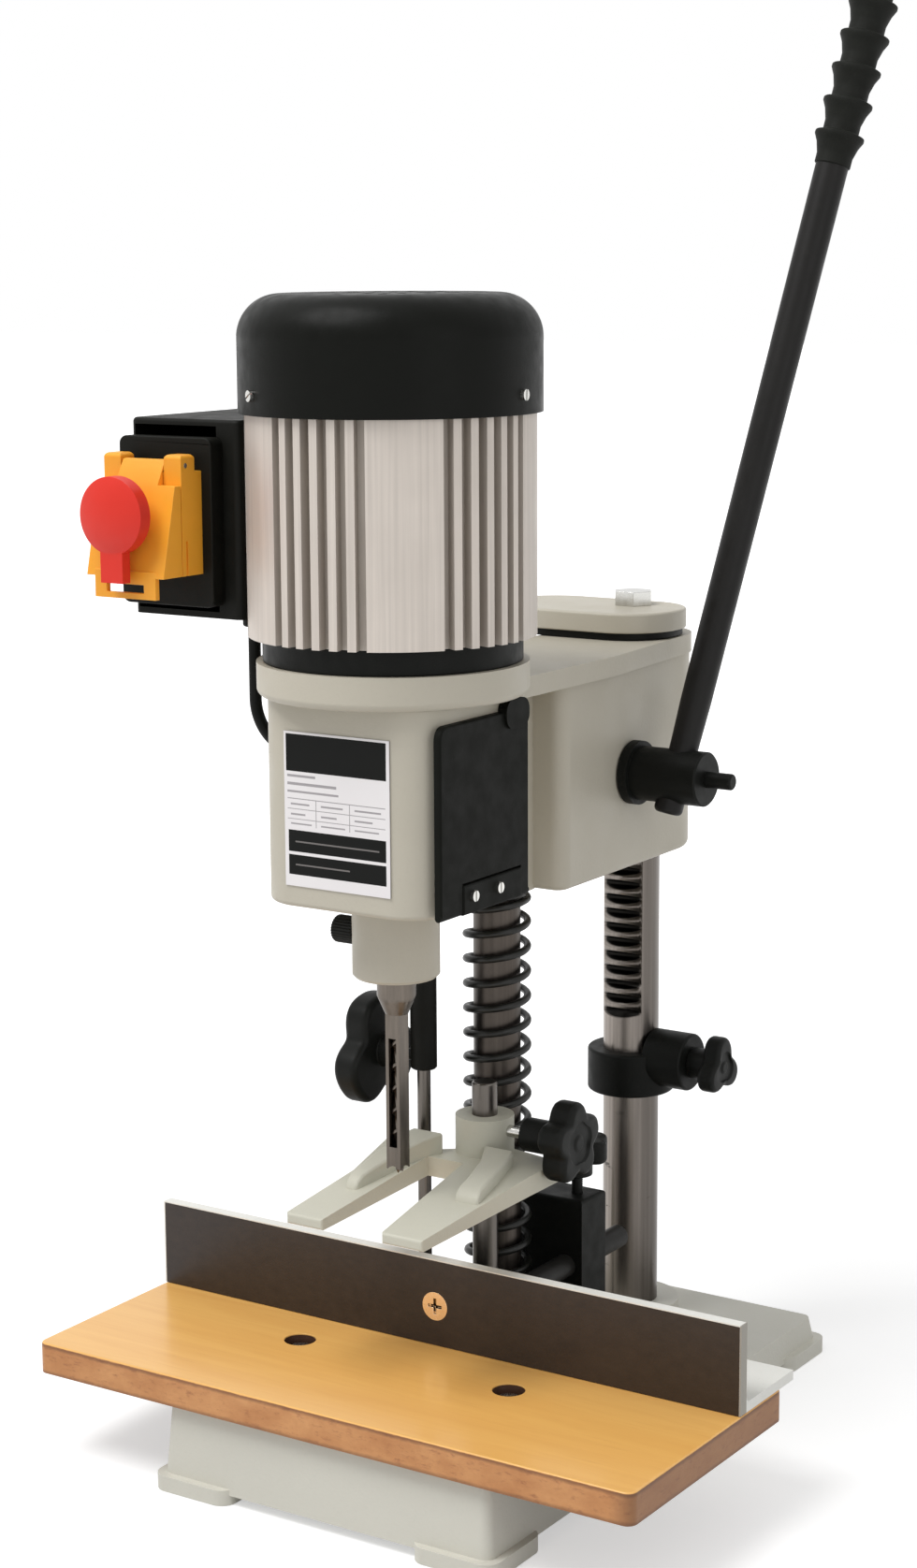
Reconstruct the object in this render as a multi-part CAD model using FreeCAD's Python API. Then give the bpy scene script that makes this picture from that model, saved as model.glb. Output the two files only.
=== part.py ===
import FreeCAD, Part
import math
import os
from FreeCAD import Vector

# Benchtop mortiser in millimetres. X runs along the table, -Y is the operator's side, +Z is up.
# The origin is the centre of the four bench bolt holes, on the underside of the base.

# Fits and clearances
running_fit = 0.05
seat_fit = 0.02
sliding_gap = 0.3
part_gap = 0.3
cut_over = 1.0

# Column and rack
column_y = 126.0
column_radius = 15.0
rack_module = 2.5
rack_bottom_z = 190.0
pressure_angle = 20.0
dedendum_share = 1.25
tooth_play = 0.12
head_rest_gap = 0.4

# Base casting
base_half_width_top = 92.5
base_half_width_foot = 95.0
base_front_y = -168.0
base_rear_y = 168.0
base_draft = 3.0
base_corner_radius = 5.0
base_foot_rise = 5.0
base_wall = 8.0
pedestal_top_z = 44.4
pedestal_rear_y = -20.0
deck_top_z = 20.0
deck_wall = 9.0
socket_radius = 27.0
socket_height = 6.0
foot_pad_size = 46.0
foot_pad_height = 8.0
foot_pad_reach = 4.0
foot_pad_radius = 8.0
bench_hole_x = 75.0
bench_hole_y = 146.0
bench_hole_radius = 3.4
bench_hole_depth = 14.0
bench_boss_radius = 10.0
bench_boss_height = 18.0

# Work table
table_half_length = 171.2
table_front_y = -170.6
table_rear_y = -25.2
table_thickness = 15.8
table_corner_radius = 5.0
table_edge_radius = 1.2
table_screw_x = 61.75
table_counterbore_radius = 8.0
table_counterbore_depth = 8.0
table_screw_head_radius = 5.6
table_screw_head_height = 4.2
table_screw_radius = 3.0
table_screw_length = 20.0
hex_key_radius = 2.6
hex_key_depth = 2.5

# Posts behind the table
spring_post_x = -6.0
spring_post_y = -0.6
spring_post_radius = 12.0
spring_post_engagement = 6.0
hold_rod_x = 6.0
hold_rod_y = -31.3
hold_rod_radius = 6.4
hold_rod_top_z = 188.5
lock_rod_x = -29.0
lock_rod_y = -33.5
lock_rod_radius = 3.4
lock_rod_top_z = 262.0
rod_end_chamfer = 0.8
post_notch_left_x = -40.0
post_notch_right_x = 15.5
post_notch_front_y = -44.0
post_notch_radius = 6.0
post_seat_depth = 6.0
spring_relief_radius = 20.5

# Return spring
spring_radius = 16.0
spring_wire_radius = 1.5
spring_turns = 21
spring_seat_radius = 19.0
spring_seat_height = 4.0

# Fence
fence_front_y = -68.7
fence_height = 44.8
fence_wall = 6.0
fence_leg_thickness = 5.0
fence_leg_rear_y = -14.3
fence_end_inset = 0.2
fence_inner_radius = 3.0
fence_screw_x = 0.0
fence_screw_rise = 20.5
fence_screw_head_radius = 7.4
fence_screw_head_depth = 4.0
fence_screw_radius = 3.0
fence_screw_length = 15.0
cross_slot_length = 8.0
cross_slot_width = 1.6
cross_slot_depth = 1.8
carrier_left_x = -16.0
carrier_right_x = 33.0
carrier_depth = 12.0
carrier_height = 30.0
guide_rod_x = 21.5
guide_rod_rise = 18.8
guide_rod_radius = 6.0
guide_rod_rear_y = 76.0

# Fence guide block behind the posts
block_left_x = -30.0
block_right_x = 31.5
block_front_y = 21.0
block_rear_y = 45.0
block_rise = 36.0
block_edge_radius = 2.0
block_foot_depth = 15.0
block_foot_height = 10.0
block_bolt_x = 18.0
block_window_left_x = -20.0
block_window_right_x = 8.0
block_window_sill = 14.0
block_window_height = 32.0
bolt_head_across = 13.0
bolt_head_height = 5.5
bolt_radius = 4.0
bolt_length = 16.0
fence_stud_radius = 3.0
fence_stud_reach = 10.0
fence_knob_radius = 17.0
fence_knob_height = 12.0
fence_knob_hub_radius = 8.0
fence_knob_hub_height = 8.0
fence_knob_lobes = 6

# Hold-down fork
fork_boss_radius = 14.75
fork_boss_bottom_z = 142.0
fork_boss_height = 29.6
fork_tip_y = -139.0
fork_tip_drop = 5.0
fork_tip_thickness = 5.6
fork_root_lift = 0.5
fork_root_thickness = 10.0
fork_left_tip_x = (-38.5, -17.5)
fork_left_root_x = (-37.0, -12.6)
fork_right_tip_x = (17.0, 40.0)
fork_right_root_x = (8.5, 47.5)
fork_root_y = -55.0
fork_left_rear_y = -48.0
fork_web_side_share = 0.7
fork_web_front_share = 0.2
fork_web_back_share = 0.8
fork_right_rear_y = -26.0
fork_rib_height = 7.0
fork_rib_width = 9.0
fork_rib_front_y = -104.0
fork_edge_radius = 1.5
fork_screw_rise = 23.0
fork_screw_radius = 3.0
fork_screw_bare = 10.0
fork_knob_hub_radius = 8.5
fork_knob_hub_length = 17.0
fork_knob_radius = 20.5
fork_knob_length = 14.0
fork_knob_lobes = 5

# Depth stop collar on the column
collar_radius = 23.5
collar_bottom_z = 145.6
collar_height = 23.5
collar_boss_radius = 15.5
collar_boss_end_x = 38.0
collar_screw_rise = 19.4
collar_screw_radius = 3.0
collar_knob_gap = 0.5
collar_knob_radius = 16.5
collar_knob_length = 10.0
collar_knob_hub_radius = 8.5
collar_knob_hub_length = 10.0
collar_knob_lobes = 3
collar_edge_radius = 1.6

# Head casting
spindle_y = -99.5
box_half_width = 49.0
box_front_y = -147.0
box_rear_y = -61.0
box_bottom_z = 296.0
box_front_radius = 22.0
box_rear_radius = 8.0
box_wall = 7.5
box_edge_radius = 2.5
head_height = 100.5
plate_thickness = 10.0
plate_half_width = 40.0
plate_bend_y = 40.0
plate_rear_half_width = 31.0
pad_radius = 64.0
pad_thickness = 16.0
pad_rise = 12.5
pad_edge_radius = 4.0
arm_front_y = 2.0
arm_half_width = 31.5
arm_corner_radius = 8.0
arm_drop = 15.0
arm_edge_radius = 4.0
sleeve_inset = 1.5
spring_boss_radius = 20.0
neck_left_x = -20.0
neck_right_x = 10.0
ear_radius = 11.0
ear_height = 34.0
chisel_boss_radius = 21.0
chisel_boss_height = 39.5
chisel_boss_chamfer = 1.5
chisel_bush_radius = 9.5
spindle_bore_radius = 17.0
gear_cavity_gap = 1.2
gear_slot_share = 0.8
door_window_front_y = -134.0
door_window_rear_y = -70.0
door_window_sill = 17.0
door_window_height = 64.0
door_window_radius = 6.0
label_left_x = -28.8
label_right_x = 30.2
label_rise = 10.5
label_height = 72.8
label_thickness = 0.6

# Head travel
head_stroke = 94.0

# Access door on the right side
door_front_y = -140.0
door_rear_y = -64.5
door_lap = 9.0
door_thickness = 3.6
door_wall = 2.0
door_rim = 4.0
door_corner_radius = 6.0
door_edge_radius = 1.2
door_tab_front_y = -86.0
door_tab_rear_y = -66.0
door_tab_rise = 5.5
door_tab_height = 14.0
door_tab_reach = 1.4
hinge_pin_radius = 1.0
hinge_pin_front_y = -134.0
hinge_pin_rear_y = -66.0
strip_front_y = -122.0
strip_rear_y = -72.0
strip_height = 14.0
strip_thickness = 4.6
strip_swing_room = 1.0
door_screw_rise = 8.5
door_screw_front_y = -114.5
door_screw_rear_y = -93.0
small_screw_head_radius = 2.6
small_screw_head_height = 1.8
small_screw_radius = 1.5
small_screw_length = 9.0
screw_slot_width = 0.8

# Rise and fall gear
pinion_teeth = 34
pinion_width = 15.0
pinion_drop = 64.5
pinion_shaft_radius = 8.0
gear_hub_radius = 14.0
gear_web_depth = 3.0
gear_rim_radius = 32.0
shaft_left_reach = 3.0
shaft_clip_radius = 11.0
shaft_clip_thickness = 2.0
flank_steps = 4

# Lever
hub_flange_radius = 16.5
hub_flange_thickness = 5.0
hub_radius = 14.0
hub_length = 43.2
hub_pin_radius = 4.2
hub_pin_reach = 15.0
lever_offset = 26.0
lever_tilt = 8.0
lever_back = 14.1
lever_radius = 7.4
lever_foot = 24.0
grip_start = 318.0
grip_length = 122.0
grip_segments = 7
grip_small_radius = 9.2
grip_large_radius = 12.6
grip_crown = 3.0
hub_pin_start_share = 0.6
grip_flat_share = 0.30
grip_half_share = 0.62
grip_half_flare = 0.45
grip_full_share = 0.84
grip_edge_share = 0.94
grip_end_share = 0.8

# Motor
flange_radius = 61.0
flange_thickness = 12.0
housing_height = 103.0
fin_radius = 67.5
groove_radius = 61.5
housing_bore_radius = 56.0
fin_sectors = 5
fin_band_angle = 30.0
fin_band_start = -50.5
fins_per_sector = 5
fin_share = 0.46
housing_floor = 6.0
cap_radius = 70.5
cap_wall = 2.5
cap_height = 54.0
cap_crown_radius = 20.0
cap_slots = 12
cap_slot_rings = 3
cap_slot_first_radius = 14.0
cap_slot_step = 12.0
cap_slot_width = 4.0
cap_slot_share = 0.62
cap_screw_rise = 9.0
cap_screw_first_angle = 2.0
cap_screws = 3
cap_spigot_radius = 66.0
cap_spigot_height = 14.0
cap_spigot_wall = 3.0
stator_inner_radius = 28.6
stator_rise = 17.0
stator_height = 64.0
winding_radius = 47.0
winding_inner_radius = 34.0
winding_height = 9.0
rotor_radius = 28.0
shaft_radius = 7.5
bearing_radius = 16.0
bearing_height = 9.0
bearing_groove = 1.2
bearing_race = 3.6
fan_rise = 7.0
fan_height = 22.0
fan_hub_radius = 12.0
fan_radius = 54.0
fan_blades = 6
fan_blade_thickness = 2.5
fan_disc_thickness = 2.5

# Drill chuck and tooling
chuck_rise = 1.0
chuck_body_radius = 15.0
chuck_body_height = 16.0
chuck_sleeve_radius = 17.5
chuck_sleeve_height = 20.0
chuck_nose_radius = 10.0
chuck_nose_height = 14.0
chuck_teeth = 12
chuck_tooth_depth = 2.0
chisel_half = 3.97
chisel_blade_length = 77.0
chisel_shank_radius = 9.45
chisel_shank_length = 65.0
chisel_shank_rise = 7.0
chisel_neck_height = 9.0
chisel_bore_radius = 3.0
chisel_slot_width = 4.4
chisel_slot_lift = 11.0
chisel_slot_drop = 12.0
chisel_bevel = 4.0
auger_core_radius = 1.2
auger_radius = 2.7
auger_lead = 3.0
auger_shank_radius = 2.6
auger_pitch = 11.0
auger_ribbon = 1.6
chisel_screw_rise = 19.1
chisel_screw_radius = 3.0
chisel_knob_radius = 6.8
chisel_knob_start = 21.5
chisel_knob_length = 12.5

# Head lock
lock_sleeve_radius = 6.75
lock_sleeve_bottom_z = 190.5
lock_screw_rise = 6.0
lock_screw_radius = 3.0
lock_knob_start = 16.0
lock_knob_hub_radius = 8.5
lock_knob_hub_length = 7.0
lock_knob_radius = 28.4
lock_knob_length = 14.0
lock_knob_lobes = 6

# Switch
switch_box_left_x = -125.0
switch_box_right_x = -60.0
switch_box_front_y = -136.0
switch_box_rear_y = -40.0
switch_box_rise = 6.0
switch_box_height = 93.0
switch_box_radius = 4.0
switch_box_wall = 3.0
switch_saddle_gap = 0.3
bezel_left_x = -124.5
bezel_right_x = -70.0
bezel_rise = 6.0
bezel_height = 79.0
bezel_depth = 9.0
switch_x = -98.5
switch_half_width = 22.8
switch_rise = 16.0
switch_height = 48.0
switch_depth = 15.0
switch_wall = 2.2
switch_slot_height = 16.0
switch_slot_width = 1.6
switch_slot_depth = 2.6
flap_ear_width = 10.0
flap_ear_rise = 8.0
flap_ear_rear_y = -150.0
flap_pin_y = -156.5
flap_pin_rise = 3.0
flap_pin_radius = 1.2
flap_knuckle_radius = 2.6
flap_gap = 0.4
flap_top_drop = 6.0
flap_top_depth = 4.4
flap_bottom_depth = 14.2
flap_wall = 2.2
flap_slope_rise = 2.2
lip_drop = 10.0
lip_half_width = 18.0
lip_depth = 3.0
lip_slot_half_width = 11.0
lip_slot_sill = 2.8
lip_slot_height = 4.0
stop_rise = 29.0
stop_radius = 18.0
stop_crown = 3.0
stop_rim = 8.0
stop_back_y = -176.0
stop_neck_radius = 8.5
stop_neck_gap = 3.4
stop_plunger_radius = 5.0
stop_edge_radius = 1.5
stop_tongue_half_width = 6.5
stop_tongue_bottom_z = 447.0
stop_tongue_depth = 5.6
start_button_rise = 10.5
button_radius = 5.6
button_height = 4.9
button_skirt = 1.6
button_flush = 0.3
stop_button_recess = 2.9

# Short lead from the switch box into the head
lead_radius = 3.0
lead_x = -81.0
lead_bend_z = 384.0
lead_bend_radius = 24.0
lead_gland_radius = 5.5
lead_gland_length = 8.0

# Cap plate on the column
cap_plate_right_x = 33.0
cap_plate_left_x = -72.0
cap_plate_centre_y = 115.5
cap_plate_half_depth = 30.5
cap_plate_thickness = 10.5
cap_plate_edge = 1.5
cap_bolt_across = 19.0
cap_bolt_head_height = 7.5
cap_bolt_radius = 6.0
cap_bolt_length = 30.0
buffer_radius = 24.0
buffer_height = 3.6

# Moulded knobs
knob_waist_share = 0.72
knob_lobe_share = 0.30
knob_round_share = 0.22
knob_crown_share = 0.5

# Angles in degrees
full_turn = 360.0
half_turn = 180.0
quarter_turn = 90.0
hexagon_step = 60.0
arc_shares = (0, 0.5, 1)

# Values that follow from the sizes above
table_top_z = pedestal_top_z + table_thickness
socket_top_z = deck_top_z + socket_height
fence_half_length = table_half_length - fence_end_inset
fence_screw_z = table_top_z + fence_screw_rise
guide_rod_z = table_top_z + guide_rod_rise
block_top_z = guide_rod_z + block_rise
block_window_bottom_z = deck_top_z + block_window_sill
block_window_top_z = block_window_bottom_z + block_window_height
fork_boss_top_z = fork_boss_bottom_z + fork_boss_height
fork_tip_bottom_z = fork_boss_bottom_z - fork_tip_drop
fork_tip_top_z = fork_tip_bottom_z + fork_tip_thickness
fork_root_bottom_z = fork_boss_bottom_z + fork_root_lift
fork_root_top_z = fork_root_bottom_z + fork_root_thickness
fork_screw_z = fork_boss_bottom_z + fork_screw_rise
collar_top_z = collar_bottom_z + collar_height
collar_screw_z = collar_bottom_z + collar_screw_rise
plate_top_z = box_bottom_z + head_height
pad_top_z = plate_top_z + pad_rise
arm_bottom_z = box_bottom_z - arm_drop
chisel_boss_bottom_z = box_bottom_z - chisel_boss_height
door_window_bottom_z = box_bottom_z + door_window_sill
door_window_top_z = door_window_bottom_z + door_window_height
label_bottom_z = box_bottom_z + label_rise
label_top_z = label_bottom_z + label_height
door_top_z = door_window_top_z + door_lap
door_tab_top_z = door_top_z + door_tab_rise
door_screw_z = box_bottom_z + door_screw_rise
pinion_z = plate_top_z - pinion_drop
sleeve_radius = arm_half_width - sleeve_inset
hub_end_x = arm_half_width + part_gap + hub_length
lever_cross_x = arm_half_width + lever_offset
flange_bottom_z = pad_top_z
flange_top_z = flange_bottom_z + flange_thickness
housing_top_z = flange_top_z + housing_height
cap_top_z = housing_top_z + cap_height
cap_screw_z = housing_top_z + cap_screw_rise
stator_bottom_z = flange_top_z + stator_rise
stator_top_z = stator_bottom_z + stator_height
fan_bottom_z = housing_top_z + fan_rise
chuck_top_z = door_window_top_z + chuck_rise
chisel_shank_top_z = box_bottom_z + chisel_shank_rise
chisel_screw_z = chisel_boss_bottom_z + chisel_screw_rise
lock_screw_z = lock_sleeve_bottom_z + lock_screw_rise
switch_box_bottom_z = flange_top_z + switch_box_rise
switch_box_top_z = switch_box_bottom_z + switch_box_height
bezel_bottom_z = switch_box_bottom_z + bezel_rise
bezel_top_z = bezel_bottom_z + bezel_height
switch_bottom_z = bezel_bottom_z + switch_rise
switch_top_z = switch_bottom_z + switch_height
flap_ear_top_z = switch_top_z + flap_ear_rise
flap_pin_z = switch_top_z + flap_pin_rise
flap_top_z = switch_top_z - flap_top_drop
flap_slope_z = flap_pin_z + flap_slope_rise
lip_bottom_z = switch_bottom_z - lip_drop
lip_slot_bottom_z = lip_bottom_z + lip_slot_sill
lip_slot_top_z = lip_slot_bottom_z + lip_slot_height
stop_z = switch_bottom_z + stop_rise
stop_button_z = stop_z
start_button_z = switch_bottom_z + start_button_rise
lead_top_z = switch_box_bottom_z
pinion_pitch_radius = rack_module * pinion_teeth / 2
rack_line = column_radius - rack_module
pinion_y = column_y - rack_line - pinion_pitch_radius
tooth_pitch = math.pi * rack_module
table_mid_y = (table_front_y + table_rear_y) / 2
fence_bottom_z = table_top_z + sliding_gap
fence_leg_top_z = fence_bottom_z + fence_leg_thickness
fence_top_z = table_top_z + fence_height
fence_back_y = fence_front_y + fence_wall
spring_bottom_z = deck_top_z + spring_seat_height
column_foot_z = base_foot_rise + deck_wall / 2
spring_post_top_z = arm_bottom_z + spring_post_engagement
plate_bottom_z = plate_top_z - plate_thickness
gear_outer_radius = pinion_pitch_radius + rack_module
hinge_pin_x = box_half_width + part_gap + door_thickness / 2
hinge_pin_z = box_bottom_z + part_gap + door_thickness / 2
strip_face_x = box_half_width + strip_thickness
half_pinion = pinion_width / 2
bezel_front_y = switch_box_front_y - bezel_depth
switch_front_y = bezel_front_y - switch_depth
flap_back_y = switch_front_y - flap_gap
column_top_z = plate_top_z + buffer_height + head_rest_gap
pad_bottom_z = pad_top_z - pad_thickness
chisel_shank_bottom_z = chisel_shank_top_z - chisel_shank_length
chisel_slot_top_z = chisel_shank_bottom_z - chisel_slot_drop
chisel_tip_z = chisel_shank_bottom_z - chisel_blade_length
chisel_slot_bottom_z = chisel_tip_z + chisel_slot_lift
auger_tip_z = chisel_tip_z - auger_lead

ORIGIN = Vector(0, 0, 0)
X_AXIS = Vector(1, 0, 0)
Y_AXIS = Vector(0, 1, 0)
Z_AXIS = Vector(0, 0, 1)


def save(name, shape):
    if not shape.isValid():
        print("not valid:", name)
    shape.exportStep("parts/" + name + ".step")


def block(x0, x1, y0, y1, z0, z1):
    return Part.makeBox(x1 - x0, y1 - y0, z1 - z0, Vector(x0, y0, z0))


def rod(radius, start, end):
    return Part.makeCylinder(radius, (end - start).Length, start, end - start)


def upright(radius, x, y, z0, z1):
    return Part.makeCylinder(radius, z1 - z0, Vector(x, y, z0), Z_AXIS)


def cross_rod(radius, x0, x1, y, z):
    return Part.makeCylinder(radius, x1 - x0, Vector(x0, y, z), X_AXIS)


def depth_rod(radius, x, y0, y1, z):
    return Part.makeCylinder(radius, y1 - y0, Vector(x, y0, z), Y_AXIS)


def prism(points, direction):
    wire = Part.makePolygon(points + [points[0]])
    return Part.Face(wire).extrude(direction)


def rounded_wire(x0, x1, y0, y1, z, radius):
    """Closed outline of a rectangle with round corners, level at z."""
    corners = (
        (x1 - radius, y1 - radius, 0),
        (x0 + radius, y1 - radius, quarter_turn),
        (x0 + radius, y0 + radius, half_turn),
        (x1 - radius, y0 + radius, half_turn + quarter_turn),
    )
    edges = []
    previous = None
    for cx, cy, start in corners:
        points = [arc_point(cx, cy, z, radius, start + quarter_turn * share) for share in arc_shares]
        if previous is None:
            first = points[0]
        else:
            edges.append(Part.LineSegment(previous, points[0]).toShape())
        edges.append(Part.Arc(*points).toShape())
        previous = points[2]
    edges.append(Part.LineSegment(previous, first).toShape())
    return Part.Wire(edges)


def arc_point(cx, cy, z, radius, degrees):
    angle = math.radians(degrees)
    return Vector(cx + radius * math.cos(angle), cy + radius * math.sin(angle), z)


def rounded_block(x0, x1, y0, y1, z0, z1, radius):
    face = Part.Face(rounded_wire(x0, x1, y0, y1, z0, radius))
    return face.extrude(Vector(0, 0, z1 - z0))


def front_panel(x0, x1, z0, z1, y0, y1, radius):
    """Flat panel seen from the front, with its four corners rounded."""
    solid = rounded_block(x0, x1, z0, z1, -y1, -y0, radius)
    solid.rotate(ORIGIN, X_AXIS, quarter_turn)
    return solid


def side_panel(y0, y1, z0, z1, x0, x1, radius):
    """Flat panel seen from the side, with its four corners rounded."""
    solid = rounded_block(-z1, -z0, y0, y1, x0, x1, radius)
    solid.rotate(ORIGIN, Y_AXIS, quarter_turn)
    return solid


def revolve_profile(points, centre, axis):
    """Turn a closed (radius, height) outline about an axis through centre."""
    corners = [Vector(r, 0, h) for r, h in points]
    outline = Part.makePolygon(corners + corners[:1])
    solid = Part.Face(outline).revolve(ORIGIN, Z_AXIS, full_turn)
    solid.Placement = FreeCAD.Placement(centre, FreeCAD.Rotation(Z_AXIS, axis))
    return solid


def soften(solid, radius, chosen):
    """Round the edges that the test picks."""
    edges = [edge for edge in solid.Edges if chosen(edge)]
    return solid.makeFillet(radius, edges)


def bevel(solid, size, chosen):
    edges = [edge for edge in solid.Edges if chosen(edge)]
    return solid.makeChamfer(size, edges)


def at_height(z):
    """Test for edges that lie level at height z."""
    def check(edge):
        box = edge.BoundBox
        return abs(box.ZMin - z) < running_fit and abs(box.ZMax - z) < running_fit
    return check


def hexagon(across, x, y, z0, z1):
    corner = across / math.sqrt(3)
    points = [arc_point(x, y, z0, corner, hexagon_step * step) for step in range(6)]
    return prism(points, Vector(0, 0, z1 - z0))


def lobed_knob(radius, length, lobes, base, axis, hub_radius, hub_length):
    """Moulded knob with round lobes; it sits on base and grows along axis."""
    waist = radius * knob_waist_share
    lobe = radius * knob_lobe_share
    top = hub_length + length
    solid = upright(waist, 0, 0, hub_length, top)
    for step in range(lobes):
        centre = arc_point(0, 0, hub_length, radius - lobe, full_turn * step / lobes)
        solid = solid.fuse(upright(lobe, centre.x, centre.y, hub_length, top))
    solid = solid.removeSplitter()
    solid = soften(solid, length * knob_round_share, at_height(top))
    solid = solid.fuse(upright(hub_radius, 0, 0, 0, hub_length + length * knob_crown_share)).removeSplitter()
    solid.Placement = FreeCAD.Placement(base, FreeCAD.Rotation(Z_AXIS, axis))
    return solid


# Base and table

def base_shell(inset, y0, y1, z0, z1):
    """Tapered block of the base, or its hollow when inset by the wall."""
    foot = base_half_width_foot - inset
    top = base_half_width_top - inset
    low = rounded_wire(-foot, foot, y0 + inset, y1 - inset, z0, base_corner_radius)
    high = rounded_wire(-top, top, y0 + inset + base_draft, y1 - inset - base_draft, z1, base_corner_radius)
    return Part.makeLoft([low, high], True, True)


def base_casting():
    pedestal = base_shell(0, base_front_y, pedestal_rear_y, base_foot_rise, pedestal_top_z)
    deck = base_shell(0, base_front_y, base_rear_y, base_foot_rise, deck_top_z)
    socket = upright(socket_radius, 0, column_y, base_foot_rise, socket_top_z)
    hollow_front = base_shell(base_wall, base_front_y, pedestal_rear_y, 0, pedestal_top_z - base_wall)
    hollow_rear = base_shell(base_wall, pedestal_rear_y - base_wall, base_rear_y, 0, deck_top_z - deck_wall)
    solid = pedestal.fuse(deck).cut(hollow_front).cut(hollow_rear).fuse(socket)
    for sx in (-1, 1):
        for sy in (-1, 1):
            solid = solid.fuse(foot_pad(sx, sy))
    solid = solid.cut(upright(spring_relief_radius, spring_post_x, spring_post_y, deck_top_z,
                              pedestal_top_z + cut_over))
    for hole in base_holes():
        solid = solid.cut(hole)
    return solid.removeSplitter()


def base_holes():
    holes = []
    for sx in (-1, 1):
        for sy in (-1, 1):
            holes.append(upright(bench_hole_radius, sx * bench_hole_x, sy * bench_hole_y, -cut_over,
                                 bench_hole_depth))
        holes.append(upright(table_screw_radius + seat_fit, sx * table_screw_x, table_mid_y,
                             pedestal_top_z - base_wall - cut_over, pedestal_top_z + cut_over))
        holes.append(upright(bolt_radius + seat_fit, sx * block_bolt_x, block_rear_y + block_foot_depth / 2,
                             0, deck_top_z + cut_over))
    holes.append(upright(column_radius + seat_fit, 0, column_y, column_foot_z, socket_top_z + cut_over))
    for radius, x, y, top in ((spring_post_radius, spring_post_x, spring_post_y, deck_top_z),
                              (hold_rod_radius, hold_rod_x, hold_rod_y, pedestal_top_z),
                              (lock_rod_radius, lock_rod_x, lock_rod_y, pedestal_top_z)):
        holes.append(upright(radius + seat_fit, x, y, top - post_seat_depth, top + cut_over))
    return holes


def foot_pad(sx, sy):
    """Foot pad at one corner with the boss of its bench bolt."""
    outer_x = base_half_width_foot + foot_pad_reach
    outer_y = base_rear_y + foot_pad_reach
    x0, x1 = sorted((sx * outer_x, sx * (outer_x - foot_pad_size)))
    y0, y1 = sorted((sy * outer_y, sy * (outer_y - foot_pad_size)))
    pad = rounded_block(x0, x1, y0, y1, 0, foot_pad_height, foot_pad_radius)
    return pad.fuse(upright(bench_boss_radius, sx * bench_hole_x, sy * bench_hole_y, 0, bench_boss_height))


def table_board():
    solid = rounded_block(-table_half_length, table_half_length, table_front_y, table_rear_y,
                          pedestal_top_z, table_top_z, table_corner_radius)
    solid = soften(solid, table_edge_radius, at_height(table_top_z))
    solid = solid.cut(post_notch(pedestal_top_z, table_top_z, table_rear_y))
    for sx in (-1, 1):
        x = sx * table_screw_x
        seat = table_top_z - table_counterbore_depth
        solid = solid.cut(upright(table_counterbore_radius, x, table_mid_y, seat, table_top_z + cut_over))
        solid = solid.cut(upright(table_screw_radius + seat_fit, x, table_mid_y,
                                  pedestal_top_z - cut_over, table_top_z))
    return solid


def post_notch(z0, z1, rear_y):
    """Cut-out that lets the posts pass the rear edge of the table or of the fence foot."""
    return rounded_block(post_notch_left_x, post_notch_right_x, post_notch_front_y,
                         rear_y + post_notch_radius * 2, z0 - cut_over, z1 + cut_over, post_notch_radius)


def table_screws():
    screws = []
    seat = table_top_z - table_counterbore_depth
    for sx in (-1, 1):
        x = sx * table_screw_x
        head = upright(table_screw_head_radius, x, table_mid_y, seat, seat + table_screw_head_height)
        socket = hexagon(hex_key_radius * 2, x, table_mid_y,
                         seat + table_screw_head_height - hex_key_depth,
                         seat + table_screw_head_height + cut_over)
        shank = upright(table_screw_radius, x, table_mid_y, seat - table_screw_length, seat)
        screws.append(head.cut(socket).fuse(shank))
    return Part.makeCompound(screws)


# Column, posts and spring

def rack_groove(z):
    """One tooth space of the rack, with straight flanks, cut across the column's front."""
    root = column_y - column_radius + rack_module * (1 + dedendum_share)
    lean = math.tan(math.radians(pressure_angle))
    line_y = column_y - rack_line
    half = tooth_pitch / 4 + tooth_play / 2
    outer_y = column_y - column_radius - cut_over
    half_outer = half + (line_y - outer_y) * lean
    half_root = half - (root - line_y) * lean
    points = [
        Vector(-column_radius - cut_over, outer_y, z - half_outer),
        Vector(-column_radius - cut_over, outer_y, z + half_outer),
        Vector(-column_radius - cut_over, root, z + half_root),
        Vector(-column_radius - cut_over, root, z - half_root),
    ]
    return prism(points, Vector(2 * (column_radius + cut_over), 0, 0))


def column():
    solid = upright(column_radius, 0, column_y, column_foot_z, column_top_z)
    first = -int((pinion_z - rack_bottom_z) / tooth_pitch)
    last = int((column_top_z - pinion_z) / tooth_pitch) - 1
    grooves = [rack_groove(pinion_z + step * tooth_pitch) for step in range(first, last + 1)]
    bolt_hole = upright(cap_bolt_radius + seat_fit, 0, column_y, column_top_z - cap_bolt_length,
                        column_top_z + cut_over)
    return solid.cut(Part.makeCompound(grooves)).cut(bolt_hole)


def plain_post(radius, x, y, z0, z1):
    solid = upright(radius, x, y, z0 - post_seat_depth, z1)
    return bevel(solid, rod_end_chamfer, at_height(z1))


def spring_seat():
    return upright(spring_seat_radius, spring_post_x, spring_post_y, deck_top_z, spring_bottom_z).cut(
        upright(spring_post_radius + seat_fit, spring_post_x, spring_post_y, deck_top_z - cut_over,
                spring_bottom_z + cut_over))


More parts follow.
